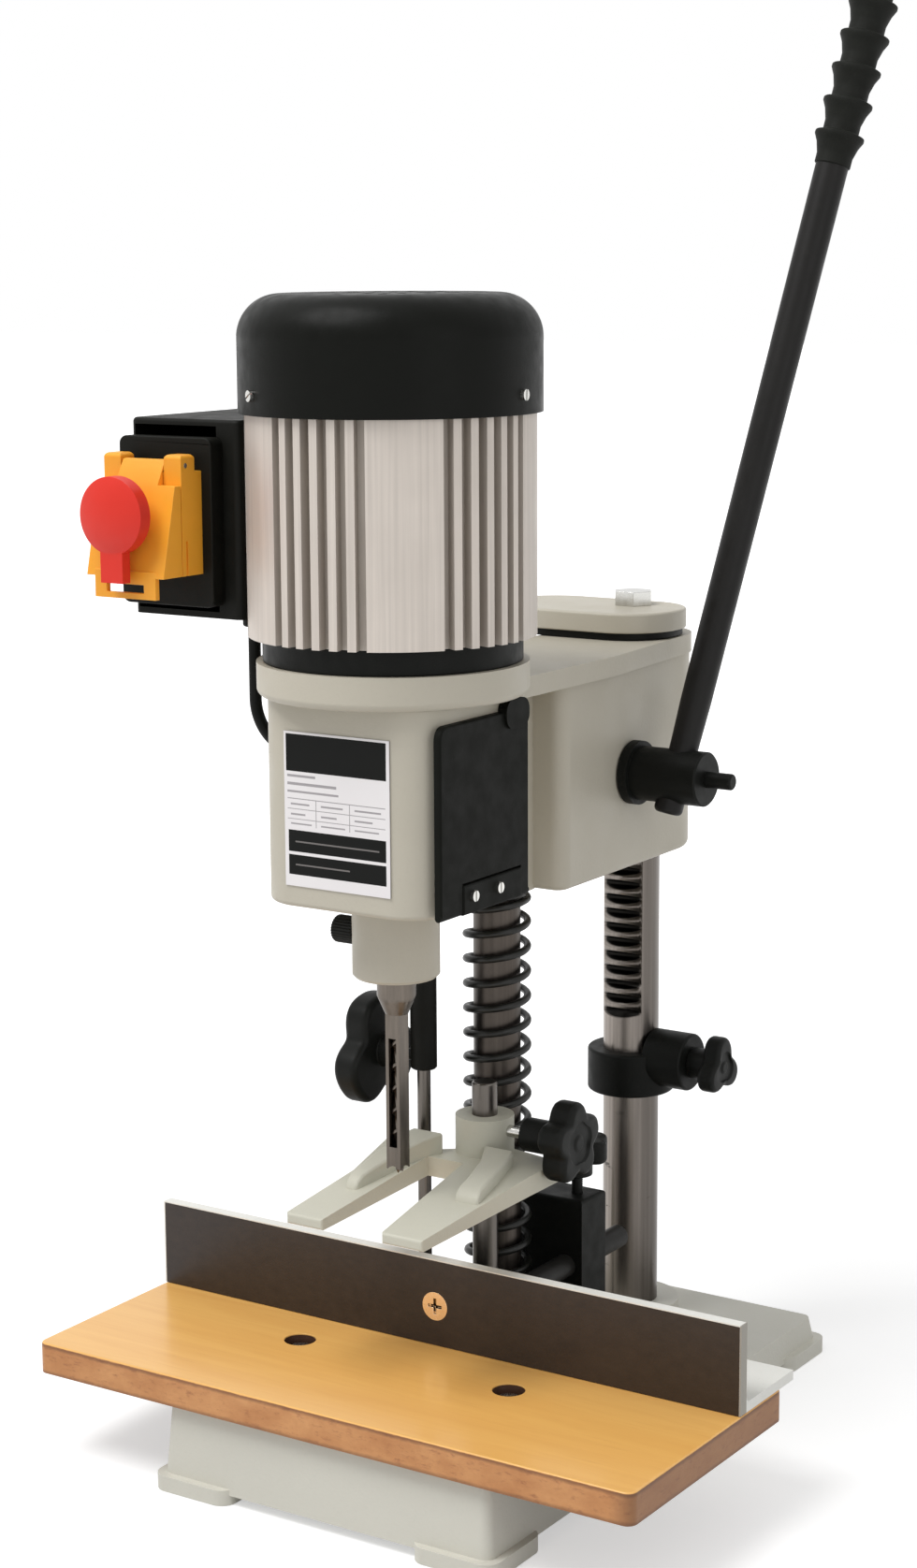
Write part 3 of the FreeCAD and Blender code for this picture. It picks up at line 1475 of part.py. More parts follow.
def radial_rod(radius, inner, outer, angle):
    """Rod that points away from the spindle axis at the height of the cap screws."""
    start = arc_point(0, spindle_y, cap_screw_z, inner, angle)
    end = arc_point(0, spindle_y, cap_screw_z, outer, angle)
    return rod(radius, start, end)


def fan_cap():
    z0 = housing_top_z
    solid = upright(cap_radius, 0, spindle_y, z0, cap_top_z)
    solid = soften(solid, cap_crown_radius, at_height(cap_top_z))
    hollow = upright(cap_radius - cap_wall, 0, spindle_y, z0 - cap_crown_radius, cap_top_z - cap_wall)
    hollow = soften(hollow, cap_crown_radius - cap_wall, at_height(cap_top_z - cap_wall))
    solid = solid.cut(hollow)
    for ring in range(cap_slot_rings):
        inner = cap_slot_first_radius + ring * cap_slot_step
        outer = inner + cap_slot_step * cap_slot_share
        slots = [cap_slot(inner, outer, full_turn * (index + (ring % 2) / 2) / cap_slots)
                 for index in range(cap_slots)]
        solid = solid.cut(Part.makeCompound(slots))
    for angle in cap_screw_angles():
        solid = solid.cut(radial_rod(small_screw_radius + seat_fit, cap_spigot_radius, cap_radius + cut_over,
                                     angle))
    return solid


def cap_slot(inner, outer, angle):
    slot = block(inner, outer, -cap_slot_width / 2, cap_slot_width / 2,
                 cap_top_z - cap_wall - cut_over, cap_top_z + cut_over)
    slot.rotate(ORIGIN, Z_AXIS, angle)
    slot.translate(Vector(0, spindle_y, 0))
    return slot


def stator():
    core = upright(housing_bore_radius - seat_fit, 0, spindle_y, stator_bottom_z, stator_top_z)
    coil = upright(winding_radius, 0, spindle_y, stator_bottom_z - winding_height,
                   stator_top_z + winding_height)
    coil = soften(coil, winding_height / 2, lambda edge: True)
    coil = coil.cut(upright(winding_inner_radius, 0, spindle_y, stator_bottom_z - winding_height - cut_over,
                            stator_top_z + winding_height + cut_over))
    solid = core.fuse(coil)
    return solid.cut(upright(stator_inner_radius, 0, spindle_y, stator_bottom_z - cut_over,
                             stator_top_z + cut_over))


def bearing(z0):
    outer = upright(bearing_radius, 0, spindle_y, z0, z0 + bearing_height)
    outer = outer.cut(upright(shaft_radius + seat_fit, 0, spindle_y, z0 - cut_over,
                              z0 + bearing_height + cut_over))
    for low, high in ((z0 - cut_over, z0 + bearing_groove),
                      (z0 + bearing_height - bearing_groove, z0 + bearing_height + cut_over)):
        groove = upright(bearing_radius - bearing_race / 2, 0, spindle_y, low, high)
        groove = groove.cut(upright(shaft_radius + bearing_race / 2, 0, spindle_y, low, high))
        outer = outer.cut(groove)
    return outer


def rotor_shaft():
    shaft = upright(shaft_radius - running_fit, 0, spindle_y, chuck_top_z, fan_bottom_z + fan_height)
    core = upright(rotor_radius, 0, spindle_y, stator_bottom_z, stator_top_z)
    return shaft.fuse(core)


def cooling_fan():
    top = fan_bottom_z + fan_height
    solid = upright(fan_hub_radius, 0, spindle_y, fan_bottom_z, top)
    solid = solid.fuse(upright(fan_radius, 0, spindle_y, fan_bottom_z, fan_bottom_z + fan_disc_thickness))
    for index in range(fan_blades):
        blade = block(fan_hub_radius / 2, fan_radius, -fan_blade_thickness / 2, fan_blade_thickness / 2,
                      fan_bottom_z, top)
        blade.rotate(ORIGIN, Z_AXIS, full_turn * index / fan_blades)
        blade.translate(Vector(0, spindle_y, 0))
        solid = solid.fuse(blade)
    bore = upright(shaft_radius, 0, spindle_y, fan_bottom_z - cut_over, top + cut_over)
    return solid.cut(bore).removeSplitter()


# Chuck, auger and chisel

def drill_chuck():
    body_bottom = chuck_top_z - chuck_body_height
    sleeve_bottom = body_bottom - chuck_sleeve_height
    nose_bottom = sleeve_bottom - chuck_nose_height
    body = upright(chuck_body_radius, 0, spindle_y, body_bottom, chuck_top_z)
    body = bevel(body, chuck_tooth_depth, at_height(chuck_top_z))
    sleeve = upright(chuck_sleeve_radius, 0, spindle_y, sleeve_bottom, body_bottom)
    teeth = []
    for index in range(chuck_teeth):
        place = arc_point(0, spindle_y, body_bottom, chuck_sleeve_radius, full_turn * index / chuck_teeth)
        teeth.append(upright(chuck_tooth_depth, place.x, place.y, body_bottom - chuck_tooth_depth * 2,
                             body_bottom + cut_over))
    sleeve = sleeve.cut(Part.makeCompound(teeth))
    nose = Part.makeCone(chuck_nose_radius, chuck_body_radius, chuck_nose_height,
                         Vector(0, spindle_y, nose_bottom), Z_AXIS)
    bore = upright(auger_shank_radius + seat_fit, 0, spindle_y, nose_bottom - cut_over, body_bottom)
    return body.fuse(sleeve).fuse(nose).cut(bore)


def auger_bit():
    """Shank, core and a twisted ribbon that runs up inside the hollow chisel."""
    shank_top = chuck_top_z - chuck_body_height
    flute_top = chisel_slot_top_z
    shank = upright(auger_shank_radius, 0, spindle_y, flute_top, shank_top)
    core = upright(auger_core_radius, 0, spindle_y, auger_tip_z + auger_core_radius * 2, flute_top + cut_over)
    tip = Part.makeCone(0, auger_core_radius, auger_core_radius * 2, Vector(0, spindle_y, auger_tip_z),
                        Z_AXIS)
    solid = shank.fuse(core).fuse(tip)
    bottom = auger_tip_z + auger_core_radius * 2
    helix = Part.makeHelix(auger_pitch, flute_top - bottom, auger_core_radius)
    helix.translate(Vector(0, spindle_y, bottom))
    overlap = auger_core_radius / 2
    blade = Part.makePolygon([
        Vector(auger_core_radius - overlap, spindle_y, bottom - auger_ribbon / 2),
        Vector(auger_radius, spindle_y, bottom - auger_ribbon / 2),
        Vector(auger_radius, spindle_y, bottom + auger_ribbon / 2),
        Vector(auger_core_radius - overlap, spindle_y, bottom + auger_ribbon / 2),
        Vector(auger_core_radius - overlap, spindle_y, bottom - auger_ribbon / 2),
    ])
    ribbon = Part.Wire(helix.Edges).makePipeShell([Part.Wire(blade.Edges)], True, True)
    return solid.fuse(ribbon)


def hollow_chisel():
    side = chisel_half
    blade = block(-side, side, spindle_y - side, spindle_y + side, chisel_tip_z, chisel_shank_bottom_z)
    cutter = Part.makeCone(chisel_half + chisel_bevel / 2, 0, chisel_half + chisel_bevel,
                           Vector(0, spindle_y, chisel_tip_z - cut_over), Z_AXIS)
    blade = blade.cut(cutter)
    neck = Part.makeCone(side * math.sqrt(2.0), chisel_shank_radius, chisel_neck_height,
                         Vector(0, spindle_y, chisel_shank_bottom_z), Z_AXIS)
    shank = upright(chisel_shank_radius, 0, spindle_y, chisel_shank_bottom_z + chisel_neck_height,
                    chisel_shank_top_z)
    solid = blade.fuse(neck).fuse(shank)
    solid = solid.cut(upright(chisel_bore_radius, 0, spindle_y, chisel_tip_z - cut_over,
                              chisel_shank_top_z + cut_over))
    window = block(-chisel_slot_width / 2, chisel_slot_width / 2, spindle_y - side - cut_over, spindle_y,
                   chisel_slot_bottom_z, chisel_slot_top_z)
    return solid.cut(window)


def chisel_lock_screw():
    end = -chisel_shank_radius - part_gap
    start = -chisel_knob_start - chisel_knob_length
    shank = cross_rod(chisel_screw_radius, start, end, spindle_y, chisel_screw_z)
    knob = cross_rod(chisel_knob_radius, start, -chisel_knob_start, spindle_y, chisel_screw_z)
    knob = soften(knob, chisel_screw_radius / 2, lambda edge: True)
    return shank.fuse(knob)


# Head lock

def lock_sleeve():
    top = box_bottom_z + ear_height / 2
    solid = upright(lock_sleeve_radius, lock_rod_x, lock_rod_y, lock_sleeve_bottom_z, top)
    solid = bevel(solid, rod_end_chamfer, at_height(lock_sleeve_bottom_z))
    bore = upright(lock_rod_radius + running_fit, lock_rod_x, lock_rod_y, lock_sleeve_bottom_z - cut_over,
                   top + cut_over)
    screw = cross_rod(lock_screw_radius + running_fit, lock_rod_x - lock_knob_start, lock_rod_x, lock_rod_y,
                      lock_screw_z)
    return solid.cut(bore).cut(screw)


def lock_knob():
    base = Vector(lock_rod_x - lock_knob_start, lock_rod_y, lock_screw_z)
    knob = lobed_knob(lock_knob_radius, lock_knob_length, lock_knob_lobes, base, X_AXIS * -1,
                      lock_knob_hub_radius, lock_knob_hub_length)
    screw = cross_rod(lock_screw_radius, lock_rod_x - lock_knob_start,
                      lock_rod_x - lock_rod_radius - part_gap,
                      lock_rod_y, lock_screw_z)
    return knob.fuse(screw).removeSplitter()


# Switch

def switch_box():
    solid = rounded_block(switch_box_left_x, switch_box_right_x, switch_box_front_y, switch_box_rear_y,
                          switch_box_bottom_z, switch_box_top_z, switch_box_radius)
    solid = soften(solid, switch_box_radius / 2, at_height(switch_box_top_z))
    saddle = upright(fin_radius + switch_saddle_gap, 0, spindle_y, switch_box_bottom_z - cut_over,
                     switch_box_top_z + cut_over)
    solid = solid.cut(saddle)
    hollow = block(switch_box_left_x + switch_box_wall, -fin_radius - switch_box_wall * 2,
                   switch_box_front_y - cut_over, switch_box_rear_y - switch_box_wall,
                   switch_box_bottom_z + switch_box_wall, switch_box_top_z - switch_box_wall)
    hole = upright(lead_radius + seat_fit, lead_x, spindle_y, switch_box_bottom_z - cut_over,
                   switch_box_bottom_z + switch_box_wall + cut_over)
    return solid.cut(hollow).cut(hole)


def switch_bezel():
    solid = front_panel(bezel_left_x, bezel_right_x, bezel_bottom_z, bezel_top_z, bezel_front_y,
                        switch_box_front_y, switch_box_radius)
    reach = switch_half_width - switch_wall
    window = block(switch_x - reach, switch_x + reach, bezel_front_y - cut_over,
                   switch_box_front_y + cut_over,
                   switch_bottom_z + switch_wall, switch_top_z - switch_wall)
    return solid.cut(window)


def switch_housing():
    """Body of the switch: two wells for the buttons, a slot on each side, two ears for the flap."""
    x0 = switch_x - switch_half_width
    x1 = switch_x + switch_half_width
    solid = block(x0, x1, switch_front_y, bezel_front_y, switch_bottom_z, switch_top_z)
    hollow = block(x0 + switch_wall, x1 - switch_wall, switch_front_y + switch_wall, bezel_front_y + cut_over,
                   switch_bottom_z + switch_wall, switch_top_z - switch_wall)
    for low, high in ((x0, x0 + flap_ear_width), (x1 - flap_ear_width, x1)):
        ear = block(low, high, switch_front_y, flap_ear_rear_y, switch_top_z - switch_wall, flap_ear_top_z)
        solid = solid.fuse(soften(ear, switch_wall, at_height(flap_ear_top_z)))
    solid = solid.cut(hollow)
    solid = solid.cut(cross_rod(flap_pin_radius + seat_fit, x0 - cut_over, x1 + cut_over, flap_pin_y,
                                flap_pin_z))
    for z in (stop_button_z, start_button_z):
        solid = solid.cut(depth_rod(button_radius + part_gap, switch_x, switch_front_y - cut_over,
                                    switch_front_y + switch_wall + cut_over, z))
    for low, high in ((x0 - cut_over, x0 + switch_wall / 2), (x1 - switch_wall / 2, x1 + cut_over)):
        solid = solid.cut(block(low, high, switch_front_y + switch_slot_depth,
                                switch_front_y + switch_slot_depth + switch_slot_width,
                                switch_bottom_z, switch_bottom_z + switch_slot_height))
    return solid.removeSplitter()


def flap_pin():
    return cross_rod(flap_pin_radius, switch_x - switch_half_width, switch_x + switch_half_width,
                     flap_pin_y, flap_pin_z)


def flap_front_y(z):
    """Front face of the flap, which leans outwards towards the bottom."""
    share = (flap_top_z - z) / (flap_top_z - switch_bottom_z)
    return flap_back_y - flap_top_depth - (flap_bottom_depth - flap_top_depth) * share


def stop_flap():
    """Wedge-shaped hinged cover with a bore for the stop plunger and a slotted lip."""
    x0 = switch_x - switch_half_width
    width = 2 * switch_half_width
    outer = [
        Vector(x0, flap_back_y, switch_bottom_z),
        Vector(x0, flap_front_y(switch_bottom_z), switch_bottom_z),
        Vector(x0, flap_front_y(flap_top_z), flap_top_z),
        Vector(x0, flap_back_y, flap_top_z),
    ]
    solid = prism(outer, Vector(width, 0, 0))
    inner = switch_half_width - flap_ear_width - part_gap
    neck = [
        Vector(switch_x - inner, flap_front_y(flap_top_z), flap_top_z - flap_wall),
        Vector(switch_x - inner, flap_front_y(flap_top_z), flap_top_z),
        Vector(switch_x - inner, flap_pin_y - flap_wall, flap_slope_z),
        Vector(switch_x - inner, flap_pin_y, flap_pin_z + flap_knuckle_radius),
        Vector(switch_x - inner, flap_pin_y, flap_pin_z - flap_knuckle_radius),
        Vector(switch_x - inner, flap_back_y, flap_pin_z - flap_knuckle_radius),
        Vector(switch_x - inner, flap_back_y, flap_top_z - flap_wall),
    ]
    knuckle = cross_rod(flap_knuckle_radius, switch_x - inner, switch_x + inner, flap_pin_y, flap_pin_z)
    lip_front = flap_front_y(switch_bottom_z)
    lip = block(switch_x - lip_half_width, switch_x + lip_half_width, lip_front, lip_front + lip_depth,
                lip_bottom_z, switch_bottom_z + lip_depth)
    slot = block(switch_x - lip_slot_half_width, switch_x + lip_slot_half_width, lip_front - cut_over,
                 lip_front + lip_depth + cut_over, lip_slot_bottom_z, lip_slot_top_z)
    solid = solid.fuse([prism(neck, Vector(2 * inner, 0, 0)), knuckle, lip]).cut(slot)
    pin = cross_rod(flap_pin_radius + running_fit, x0, x0 + width, flap_pin_y, flap_pin_z)
    bore = depth_rod(stop_neck_radius + running_fit, switch_x, flap_front_y(switch_bottom_z) - cut_over,
                     flap_back_y + cut_over, stop_z)
    return solid.cut(pin).cut(bore).removeSplitter()


def stop_mushroom():
    """Stop button: broad domed head with a tongue below it, a neck in the flap and a plunger."""
    front = stop_back_y - stop_rim
    rim = depth_rod(stop_radius, switch_x, front, stop_back_y, stop_z)
    rim = soften(rim, stop_edge_radius, lambda edge: edge.BoundBox.YMin > stop_back_y - running_fit)
    sphere = (stop_radius * stop_radius + stop_crown * stop_crown) / (2 * stop_crown)
    dome = Part.makeSphere(sphere, Vector(switch_x, front - stop_crown + sphere, stop_z))
    dome = dome.common(depth_rod(stop_radius, switch_x, front - stop_crown, front, stop_z))
    neck = depth_rod(stop_neck_radius, switch_x, stop_back_y, flap_back_y - stop_neck_gap, stop_z)
    plunger = depth_rod(stop_plunger_radius, switch_x, stop_back_y, flap_back_y - part_gap, stop_z)
    tongue = block(switch_x - stop_tongue_half_width, switch_x + stop_tongue_half_width,
                   front, front + stop_tongue_depth, stop_tongue_bottom_z, stop_z)
    return rim.fuse([dome, neck, plunger, tongue]).removeSplitter()


def push_button(z, front):
    """Small round button with a skirt that keeps it behind the front wall."""
    rear = front + button_height
    cap = depth_rod(button_radius, switch_x, front, rear, z)
    skirt = depth_rod(button_radius + button_skirt, switch_x, front + switch_wall, rear, z)
    return cap.fuse(skirt).removeSplitter()


# Lead from the switch box to the head

def switch_lead():
    """Round cable: straight down, one wide quarter bend, then into the head's left wall."""
    low = lead_bend_z - lead_bend_radius
    centre_x = lead_x + lead_bend_radius
    start = Vector(lead_x, spindle_y, lead_top_z + switch_box_wall)
    bend_start = Vector(lead_x, spindle_y, lead_bend_z)
    half = lead_bend_radius * math.cos(math.radians(quarter_turn / 2))
    bend_middle = Vector(centre_x - half, spindle_y, lead_bend_z - half)
    bend_end = Vector(centre_x, spindle_y, low)
    end = Vector(-box_half_width + box_wall, spindle_y, low)
    path = Part.Wire([
        Part.LineSegment(start, bend_start).toShape(),
        Part.Arc(bend_start, bend_middle, bend_end).toShape(),
        Part.LineSegment(bend_end, end).toShape(),
    ])
    tube = swept_tube(path, lead_radius, start, Z_AXIS * -1)
    section = math.pi * lead_radius * lead_radius
    print("lead bend radius", lead_bend_radius, "tube radius", lead_radius)
    print("lead volume against section times length", round(tube.Volume / (section * path.Length), 4))
    return tube


def lead_gland():
    ring = upright(lead_gland_radius, lead_x, spindle_y, switch_box_bottom_z - lead_gland_length,
                   switch_box_bottom_z)
    ring = bevel(ring, rod_end_chamfer, at_height(switch_box_bottom_z - lead_gland_length))
    return ring.cut(upright(lead_radius + seat_fit, lead_x, spindle_y, switch_box_bottom_z - lead_gland_length
                            - cut_over, switch_box_bottom_z + cut_over))


# Cap plate on the column

def cap_plate():
    top = column_top_z + cap_plate_thickness
    y0 = cap_plate_centre_y - cap_plate_half_depth
    y1 = cap_plate_centre_y + cap_plate_half_depth
    solid = rounded_block(cap_plate_left_x, cap_plate_right_x, y0, y1, column_top_z, top,
                          cap_plate_half_depth - cap_plate_edge)
    solid = soften(solid, cap_plate_edge, at_height(top))
    return solid.cut(upright(cap_bolt_radius + seat_fit, 0, column_y, column_top_z - cut_over,
                             top + cut_over))


def cap_bolt():
    seat = column_top_z + cap_plate_thickness
    head = hexagon(cap_bolt_across, 0, column_y, seat, seat + cap_bolt_head_height)
    return head.fuse(upright(cap_bolt_radius, 0, column_y, seat - cap_bolt_length, seat))


def stop_buffer():
    """Rubber ring under the cap plate that the head meets at the top of its travel."""
    ring = upright(buffer_radius, 0, column_y, column_top_z - buffer_height, column_top_z)
    return ring.cut(upright(column_radius + seat_fit, 0, column_y, column_top_z - buffer_height - cut_over,
                            column_top_z + cut_over))


nodes = {
    "base_casting": base_casting,
    "column": column,
    "cap_plate": cap_plate,
    "cap_bolt": cap_bolt,
    "stop_buffer": stop_buffer,
    "table_board": table_board,
    "table_screws": table_screws,
    "spring_post": lambda: plain_post(spring_post_radius, spring_post_x, spring_post_y, deck_top_z,
                                      spring_post_top_z),
    "spring_seat": spring_seat,
    "head_spring": head_spring,
    "hold_down_rod": lambda: plain_post(hold_rod_radius, hold_rod_x, hold_rod_y, pedestal_top_z,
                                        hold_rod_top_z),
    "head_lock_rod": lambda: plain_post(lock_rod_radius, lock_rod_x, lock_rod_y, pedestal_top_z,
                                        lock_rod_top_z),
    "fence_guide_block": fence_guide_block,
    "fence_block_bolts": fence_block_bolts,
    "fence_lock_knob": fence_lock_knob,
    "fence": fence,
    "fence_screw": fence_screw,
    "fence_carrier": fence_carrier,
    "fence_guide_rod": fence_guide_rod,
    "hold_down_fork": hold_down_fork,
    "fork_lock_screw": fork_lock_screw,
    "fork_lock_knob": fork_lock_knob,
    "depth_collar": depth_collar,
    "collar_knob": collar_knob,
    "head_casting": head_casting,
    "name_plate": name_plate,
    "access_door": access_door,
    "door_hinge_strip": door_hinge_strip,
    "door_hinge_pin": door_hinge_pin,
    "small_screws": small_screws,
    "pinion_gear": pinion_gear,
    "pinion_shaft": pinion_shaft,
    "shaft_clip": shaft_clip,
    "lever_hub": lever_hub,
    "lever_rod": lever_rod,
    "lever_grip": lever_grip,
    "hub_pin": hub_pin,
    "motor_flange": motor_flange,
    "motor_housing": motor_housing,
    "fan_cap": fan_cap,
    "stator": stator,
    "motor_bearings": lambda: Part.makeCompound([bearing(top - bearing_height)
                                                 for top in (flange_top_z, housing_top_z)]),
    "rotor_shaft": rotor_shaft,
    "cooling_fan": cooling_fan,
    "drill_chuck": drill_chuck,
    "auger_bit": auger_bit,
    "hollow_chisel": hollow_chisel,
    "chisel_lock_screw": chisel_lock_screw,
    "lock_sleeve": lock_sleeve,
    "head_lock_knob": lock_knob,
    "switch_box": switch_box,
    "switch_bezel": switch_bezel,
    "switch_housing": switch_housing,
    "flap_pin": flap_pin,
    "stop_flap": stop_flap,
    "stop_mushroom": stop_mushroom,
    "stop_button": lambda: push_button(stop_button_z, switch_front_y + stop_button_recess),
    "start_button": lambda: push_button(start_button_z, switch_front_y + button_flush),
    "switch_lead": switch_lead,
    "lead_gland": lead_gland,
}

os.makedirs("parts", exist_ok=True)
for node_name, make in nodes.items():
    save(node_name, make())
print("nodes", len(nodes))
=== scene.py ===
"""Benchtop mortiser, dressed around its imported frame.

It has the camera, the light, the finishes and the pieces that CAD leaves plain.
"""
import math

import bmesh
import bpy
from mathutils import Matrix, Vector, geometry


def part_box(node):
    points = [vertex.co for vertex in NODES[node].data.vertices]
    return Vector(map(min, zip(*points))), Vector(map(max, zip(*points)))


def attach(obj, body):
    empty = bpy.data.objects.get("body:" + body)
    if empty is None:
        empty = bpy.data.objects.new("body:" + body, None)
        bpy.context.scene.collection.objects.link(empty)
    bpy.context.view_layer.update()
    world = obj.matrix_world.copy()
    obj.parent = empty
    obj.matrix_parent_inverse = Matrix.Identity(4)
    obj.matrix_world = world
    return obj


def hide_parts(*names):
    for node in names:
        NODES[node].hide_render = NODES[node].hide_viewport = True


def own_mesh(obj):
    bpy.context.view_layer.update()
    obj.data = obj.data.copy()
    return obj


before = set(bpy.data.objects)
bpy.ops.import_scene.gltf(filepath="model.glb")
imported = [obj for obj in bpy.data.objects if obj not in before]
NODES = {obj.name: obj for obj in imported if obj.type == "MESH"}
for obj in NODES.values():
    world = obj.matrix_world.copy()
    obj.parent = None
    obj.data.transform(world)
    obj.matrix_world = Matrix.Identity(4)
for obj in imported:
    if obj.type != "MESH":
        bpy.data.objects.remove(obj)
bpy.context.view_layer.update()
MM = 0.001

# Camera, as fitted to the photograph (980 x 1676)
PHOTO_HEIGHT = 1676
FOCAL_PIXELS = 3137.19
SENSOR = 36.0
CLIP_NEAR = 0.05
CLIP_FAR = 60
CAMERA_AT = Vector((0.7710, -1.2221, 0.5988))
CAMERA_AZIMUTH = 33.21
CAMERA_PITCH = 10.39
CAMERA_ROLL = -0.34

# Axes of the column and the spindle, both at x = 0
COLUMN_Y = 0.126
SPINDLE_Y = -0.0995


def tone(red, green, blue):
    """Linear colour of a screen colour, by the sRGB curve."""
    linear = []
    for value in (red, green, blue):
        share = value / 255
        linear.append(share / 12.92 if share <= 0.04045 else ((share + 0.055) / 1.055) ** 2.4)
    return (*linear, 1.0)


# Camera

def place_camera():
    azimuth, pitch, roll = (math.radians(a) for a in (CAMERA_AZIMUTH, CAMERA_PITCH, CAMERA_ROLL))
    forward = Vector((-math.sin(azimuth) * math.cos(pitch),
                      math.cos(azimuth) * math.cos(pitch),
                      -math.sin(pitch)))
    level = Vector((math.cos(azimuth), math.sin(azimuth), 0))
    upward = level.cross(forward)
    right = level * math.cos(roll) + upward * math.sin(roll)
    up = upward * math.cos(roll) - level * math.sin(roll)
    data = bpy.data.cameras.new("camera")
    data.sensor_width = SENSOR
    data.lens = FOCAL_PIXELS / PHOTO_HEIGHT * SENSOR
    data.clip_start = CLIP_NEAR
    data.clip_end = CLIP_FAR
    camera = bpy.data.objects.new("camera", data)
    bpy.context.scene.collection.objects.link(camera)
    turn = Matrix((right, up, -forward)).transposed().to_4x4()
    camera.matrix_world = Matrix.Translation(CAMERA_AT) @ turn
    bpy.context.scene.camera = camera


# Finishes

# Colour inputs of the mix node
MIX_FIRST = 6
MIX_SECOND = 7
# An edge is where the rounded normal leaves the face's own: cosines at which it starts and is full
EDGE_START = 0.995
EDGE_FULL = 0.90
EDGE_SAMPLES = 4


class Finish:
    """A procedural material: a Principled shader fed by short node chains.

    The chains work in the object's own coordinates, in metres.
    """

    def __init__(self, name, **constants):
        self.material = bpy.data.materials.new(name)
        self.material.use_nodes = True
        self.tree = self.material.node_tree
        self.shader = next(n for n in self.tree.nodes if n.type == "BSDF_PRINCIPLED")
        for socket, value in constants.items():
            self.shader.inputs[socket.replace("_", " ")].default_value = value
        self.place = self.tree.nodes.new("ShaderNodeTexCoord").outputs["Object"]
        self.last_normal = None

    def put(self, socket, value):
        if isinstance(value, bpy.types.NodeSocket):
            self.tree.links.new(value, socket)
        else:
            socket.default_value = value

    def stretched(self, scale):
        node = self.tree.nodes.new("ShaderNodeMapping")
        self.put(node.inputs["Vector"], self.place)
        node.inputs["Scale"].default_value = scale
        return node.outputs["Vector"]

    def noise(self, scale, detail=3.0, rough=0.5, vector=None, distortion=0.0):
        node = self.tree.nodes.new("ShaderNodeTexNoise")
        self.put(node.inputs["Vector"], vector or self.place)
        node.inputs["Scale"].default_value = scale
        node.inputs["Detail"].default_value = detail
        node.inputs["Roughness"].default_value = rough
        node.inputs["Distortion"].default_value = distortion
        return node.outputs[0]

    def axis(self, index):
        node = self.tree.nodes.new("ShaderNodeSeparateXYZ")
        self.put(node.inputs[0], self.place)
        return node.outputs[index]

    def math(self, operation, first, second=0.0):
        node = self.tree.nodes.new("ShaderNodeMath")
        node.operation = operation
        self.put(node.inputs[0], first)
        self.put(node.inputs[1], second)
        return node.outputs[0]

    def span(self, value, low, high, to_low=0.0, to_high=1.0):
        node = self.tree.nodes.new("ShaderNodeMapRange")
        self.put(node.inputs["Value"], value)
        numbers = (("From Min", low), ("From Max", high), ("To Min", to_low), ("To Max", to_high))
        for socket, number in numbers:
            node.inputs[socket].default_value = number
        return node.outputs["Result"]

    def mix(self, share, first, second):
        node = self.tree.nodes.new("ShaderNodeMix")
        node.data_type = "RGBA"
        self.put(node.inputs[0], share)
        self.put(node.inputs[MIX_FIRST], first)
        self.put(node.inputs[MIX_SECOND], second)
        return node.outputs[2]

    def bump(self, height, depth, strength=1.0):
        """Adds relief: depth is the height in metres of a full step."""
        node = self.tree.nodes.new("ShaderNodeBump")
        node.inputs["Strength"].default_value = strength
        node.inputs["Distance"].default_value = depth
        self.put(node.inputs["Height"], height)
        if self.last_normal:
            self.put(node.inputs["Normal"], self.last_normal)
        self.last_normal = node.outputs["Normal"]
        self.put(self.shader.inputs["Normal"], self.last_normal)

    def colour(self, value):
        self.put(self.shader.inputs["Base Color"], value)

    def roughness(self, value):
        self.put(self.shader.inputs["Roughness"], value)

    def edges(self, radius):
        """1 on sharp outer and inner edges, 0 on open faces."""
        bevel = self.tree.nodes.new("ShaderNodeBevel")
        bevel.samples = EDGE_SAMPLES
        bevel.inputs["Radius"].default_value = radius
        surface = self.tree.nodes.new("ShaderNodeNewGeometry")
        dot = self.tree.nodes.new("ShaderNodeVectorMath")
        dot.operation = "DOT_PRODUCT"
        self.put(dot.inputs[0], bevel.outputs[0])
        self.put(dot.inputs[1], surface.outputs["Normal"])
        return self.span(dot.outputs["Value"], EDGE_START, EDGE_FULL)

    def around(self, y):
        """Distance from the upright axis through x = 0 at y."""
        east = self.axis(0)
        north = self.math("SUBTRACT", self.axis(1), y)
        return self.math("SQRT", self.math("ADD", self.math("MULTIPLY", east, east),
                                           self.math("MULTIPLY", north, north)))

    def inside(self, value, centre, half):
        """1 where value is nearer to centre than half, else 0."""
        distance = self.math("ABSOLUTE", self.math("SUBTRACT", value, centre))
        return self.math("LESS_THAN", distance, half)


def shade(colour, factor):
    return (*(min(1.0, c * factor) for c in colour[:3]), 1.0)


# Rounding radii, in metres, over which a finish paints a highlight along an edge
CAST_EDGE = 0.0009
FINE_EDGE = 0.0006

# Relief, in metres
PAINT_GRAIN = 0.00010
MOULD_WAVES = 0.0006
STEEL_LINES = 0.00002
MOTOR_GRAIN = 0.00004
VARNISH_GRAIN = 0.00003
RAW_WOOD_GRAIN = 0.0004
FENCE_GRAIN = 0.00006
PLASTIC_GRAIN = 0.00003
RUBBER_GRAIN = 0.00008
PLATE_GRAIN = 0.00001


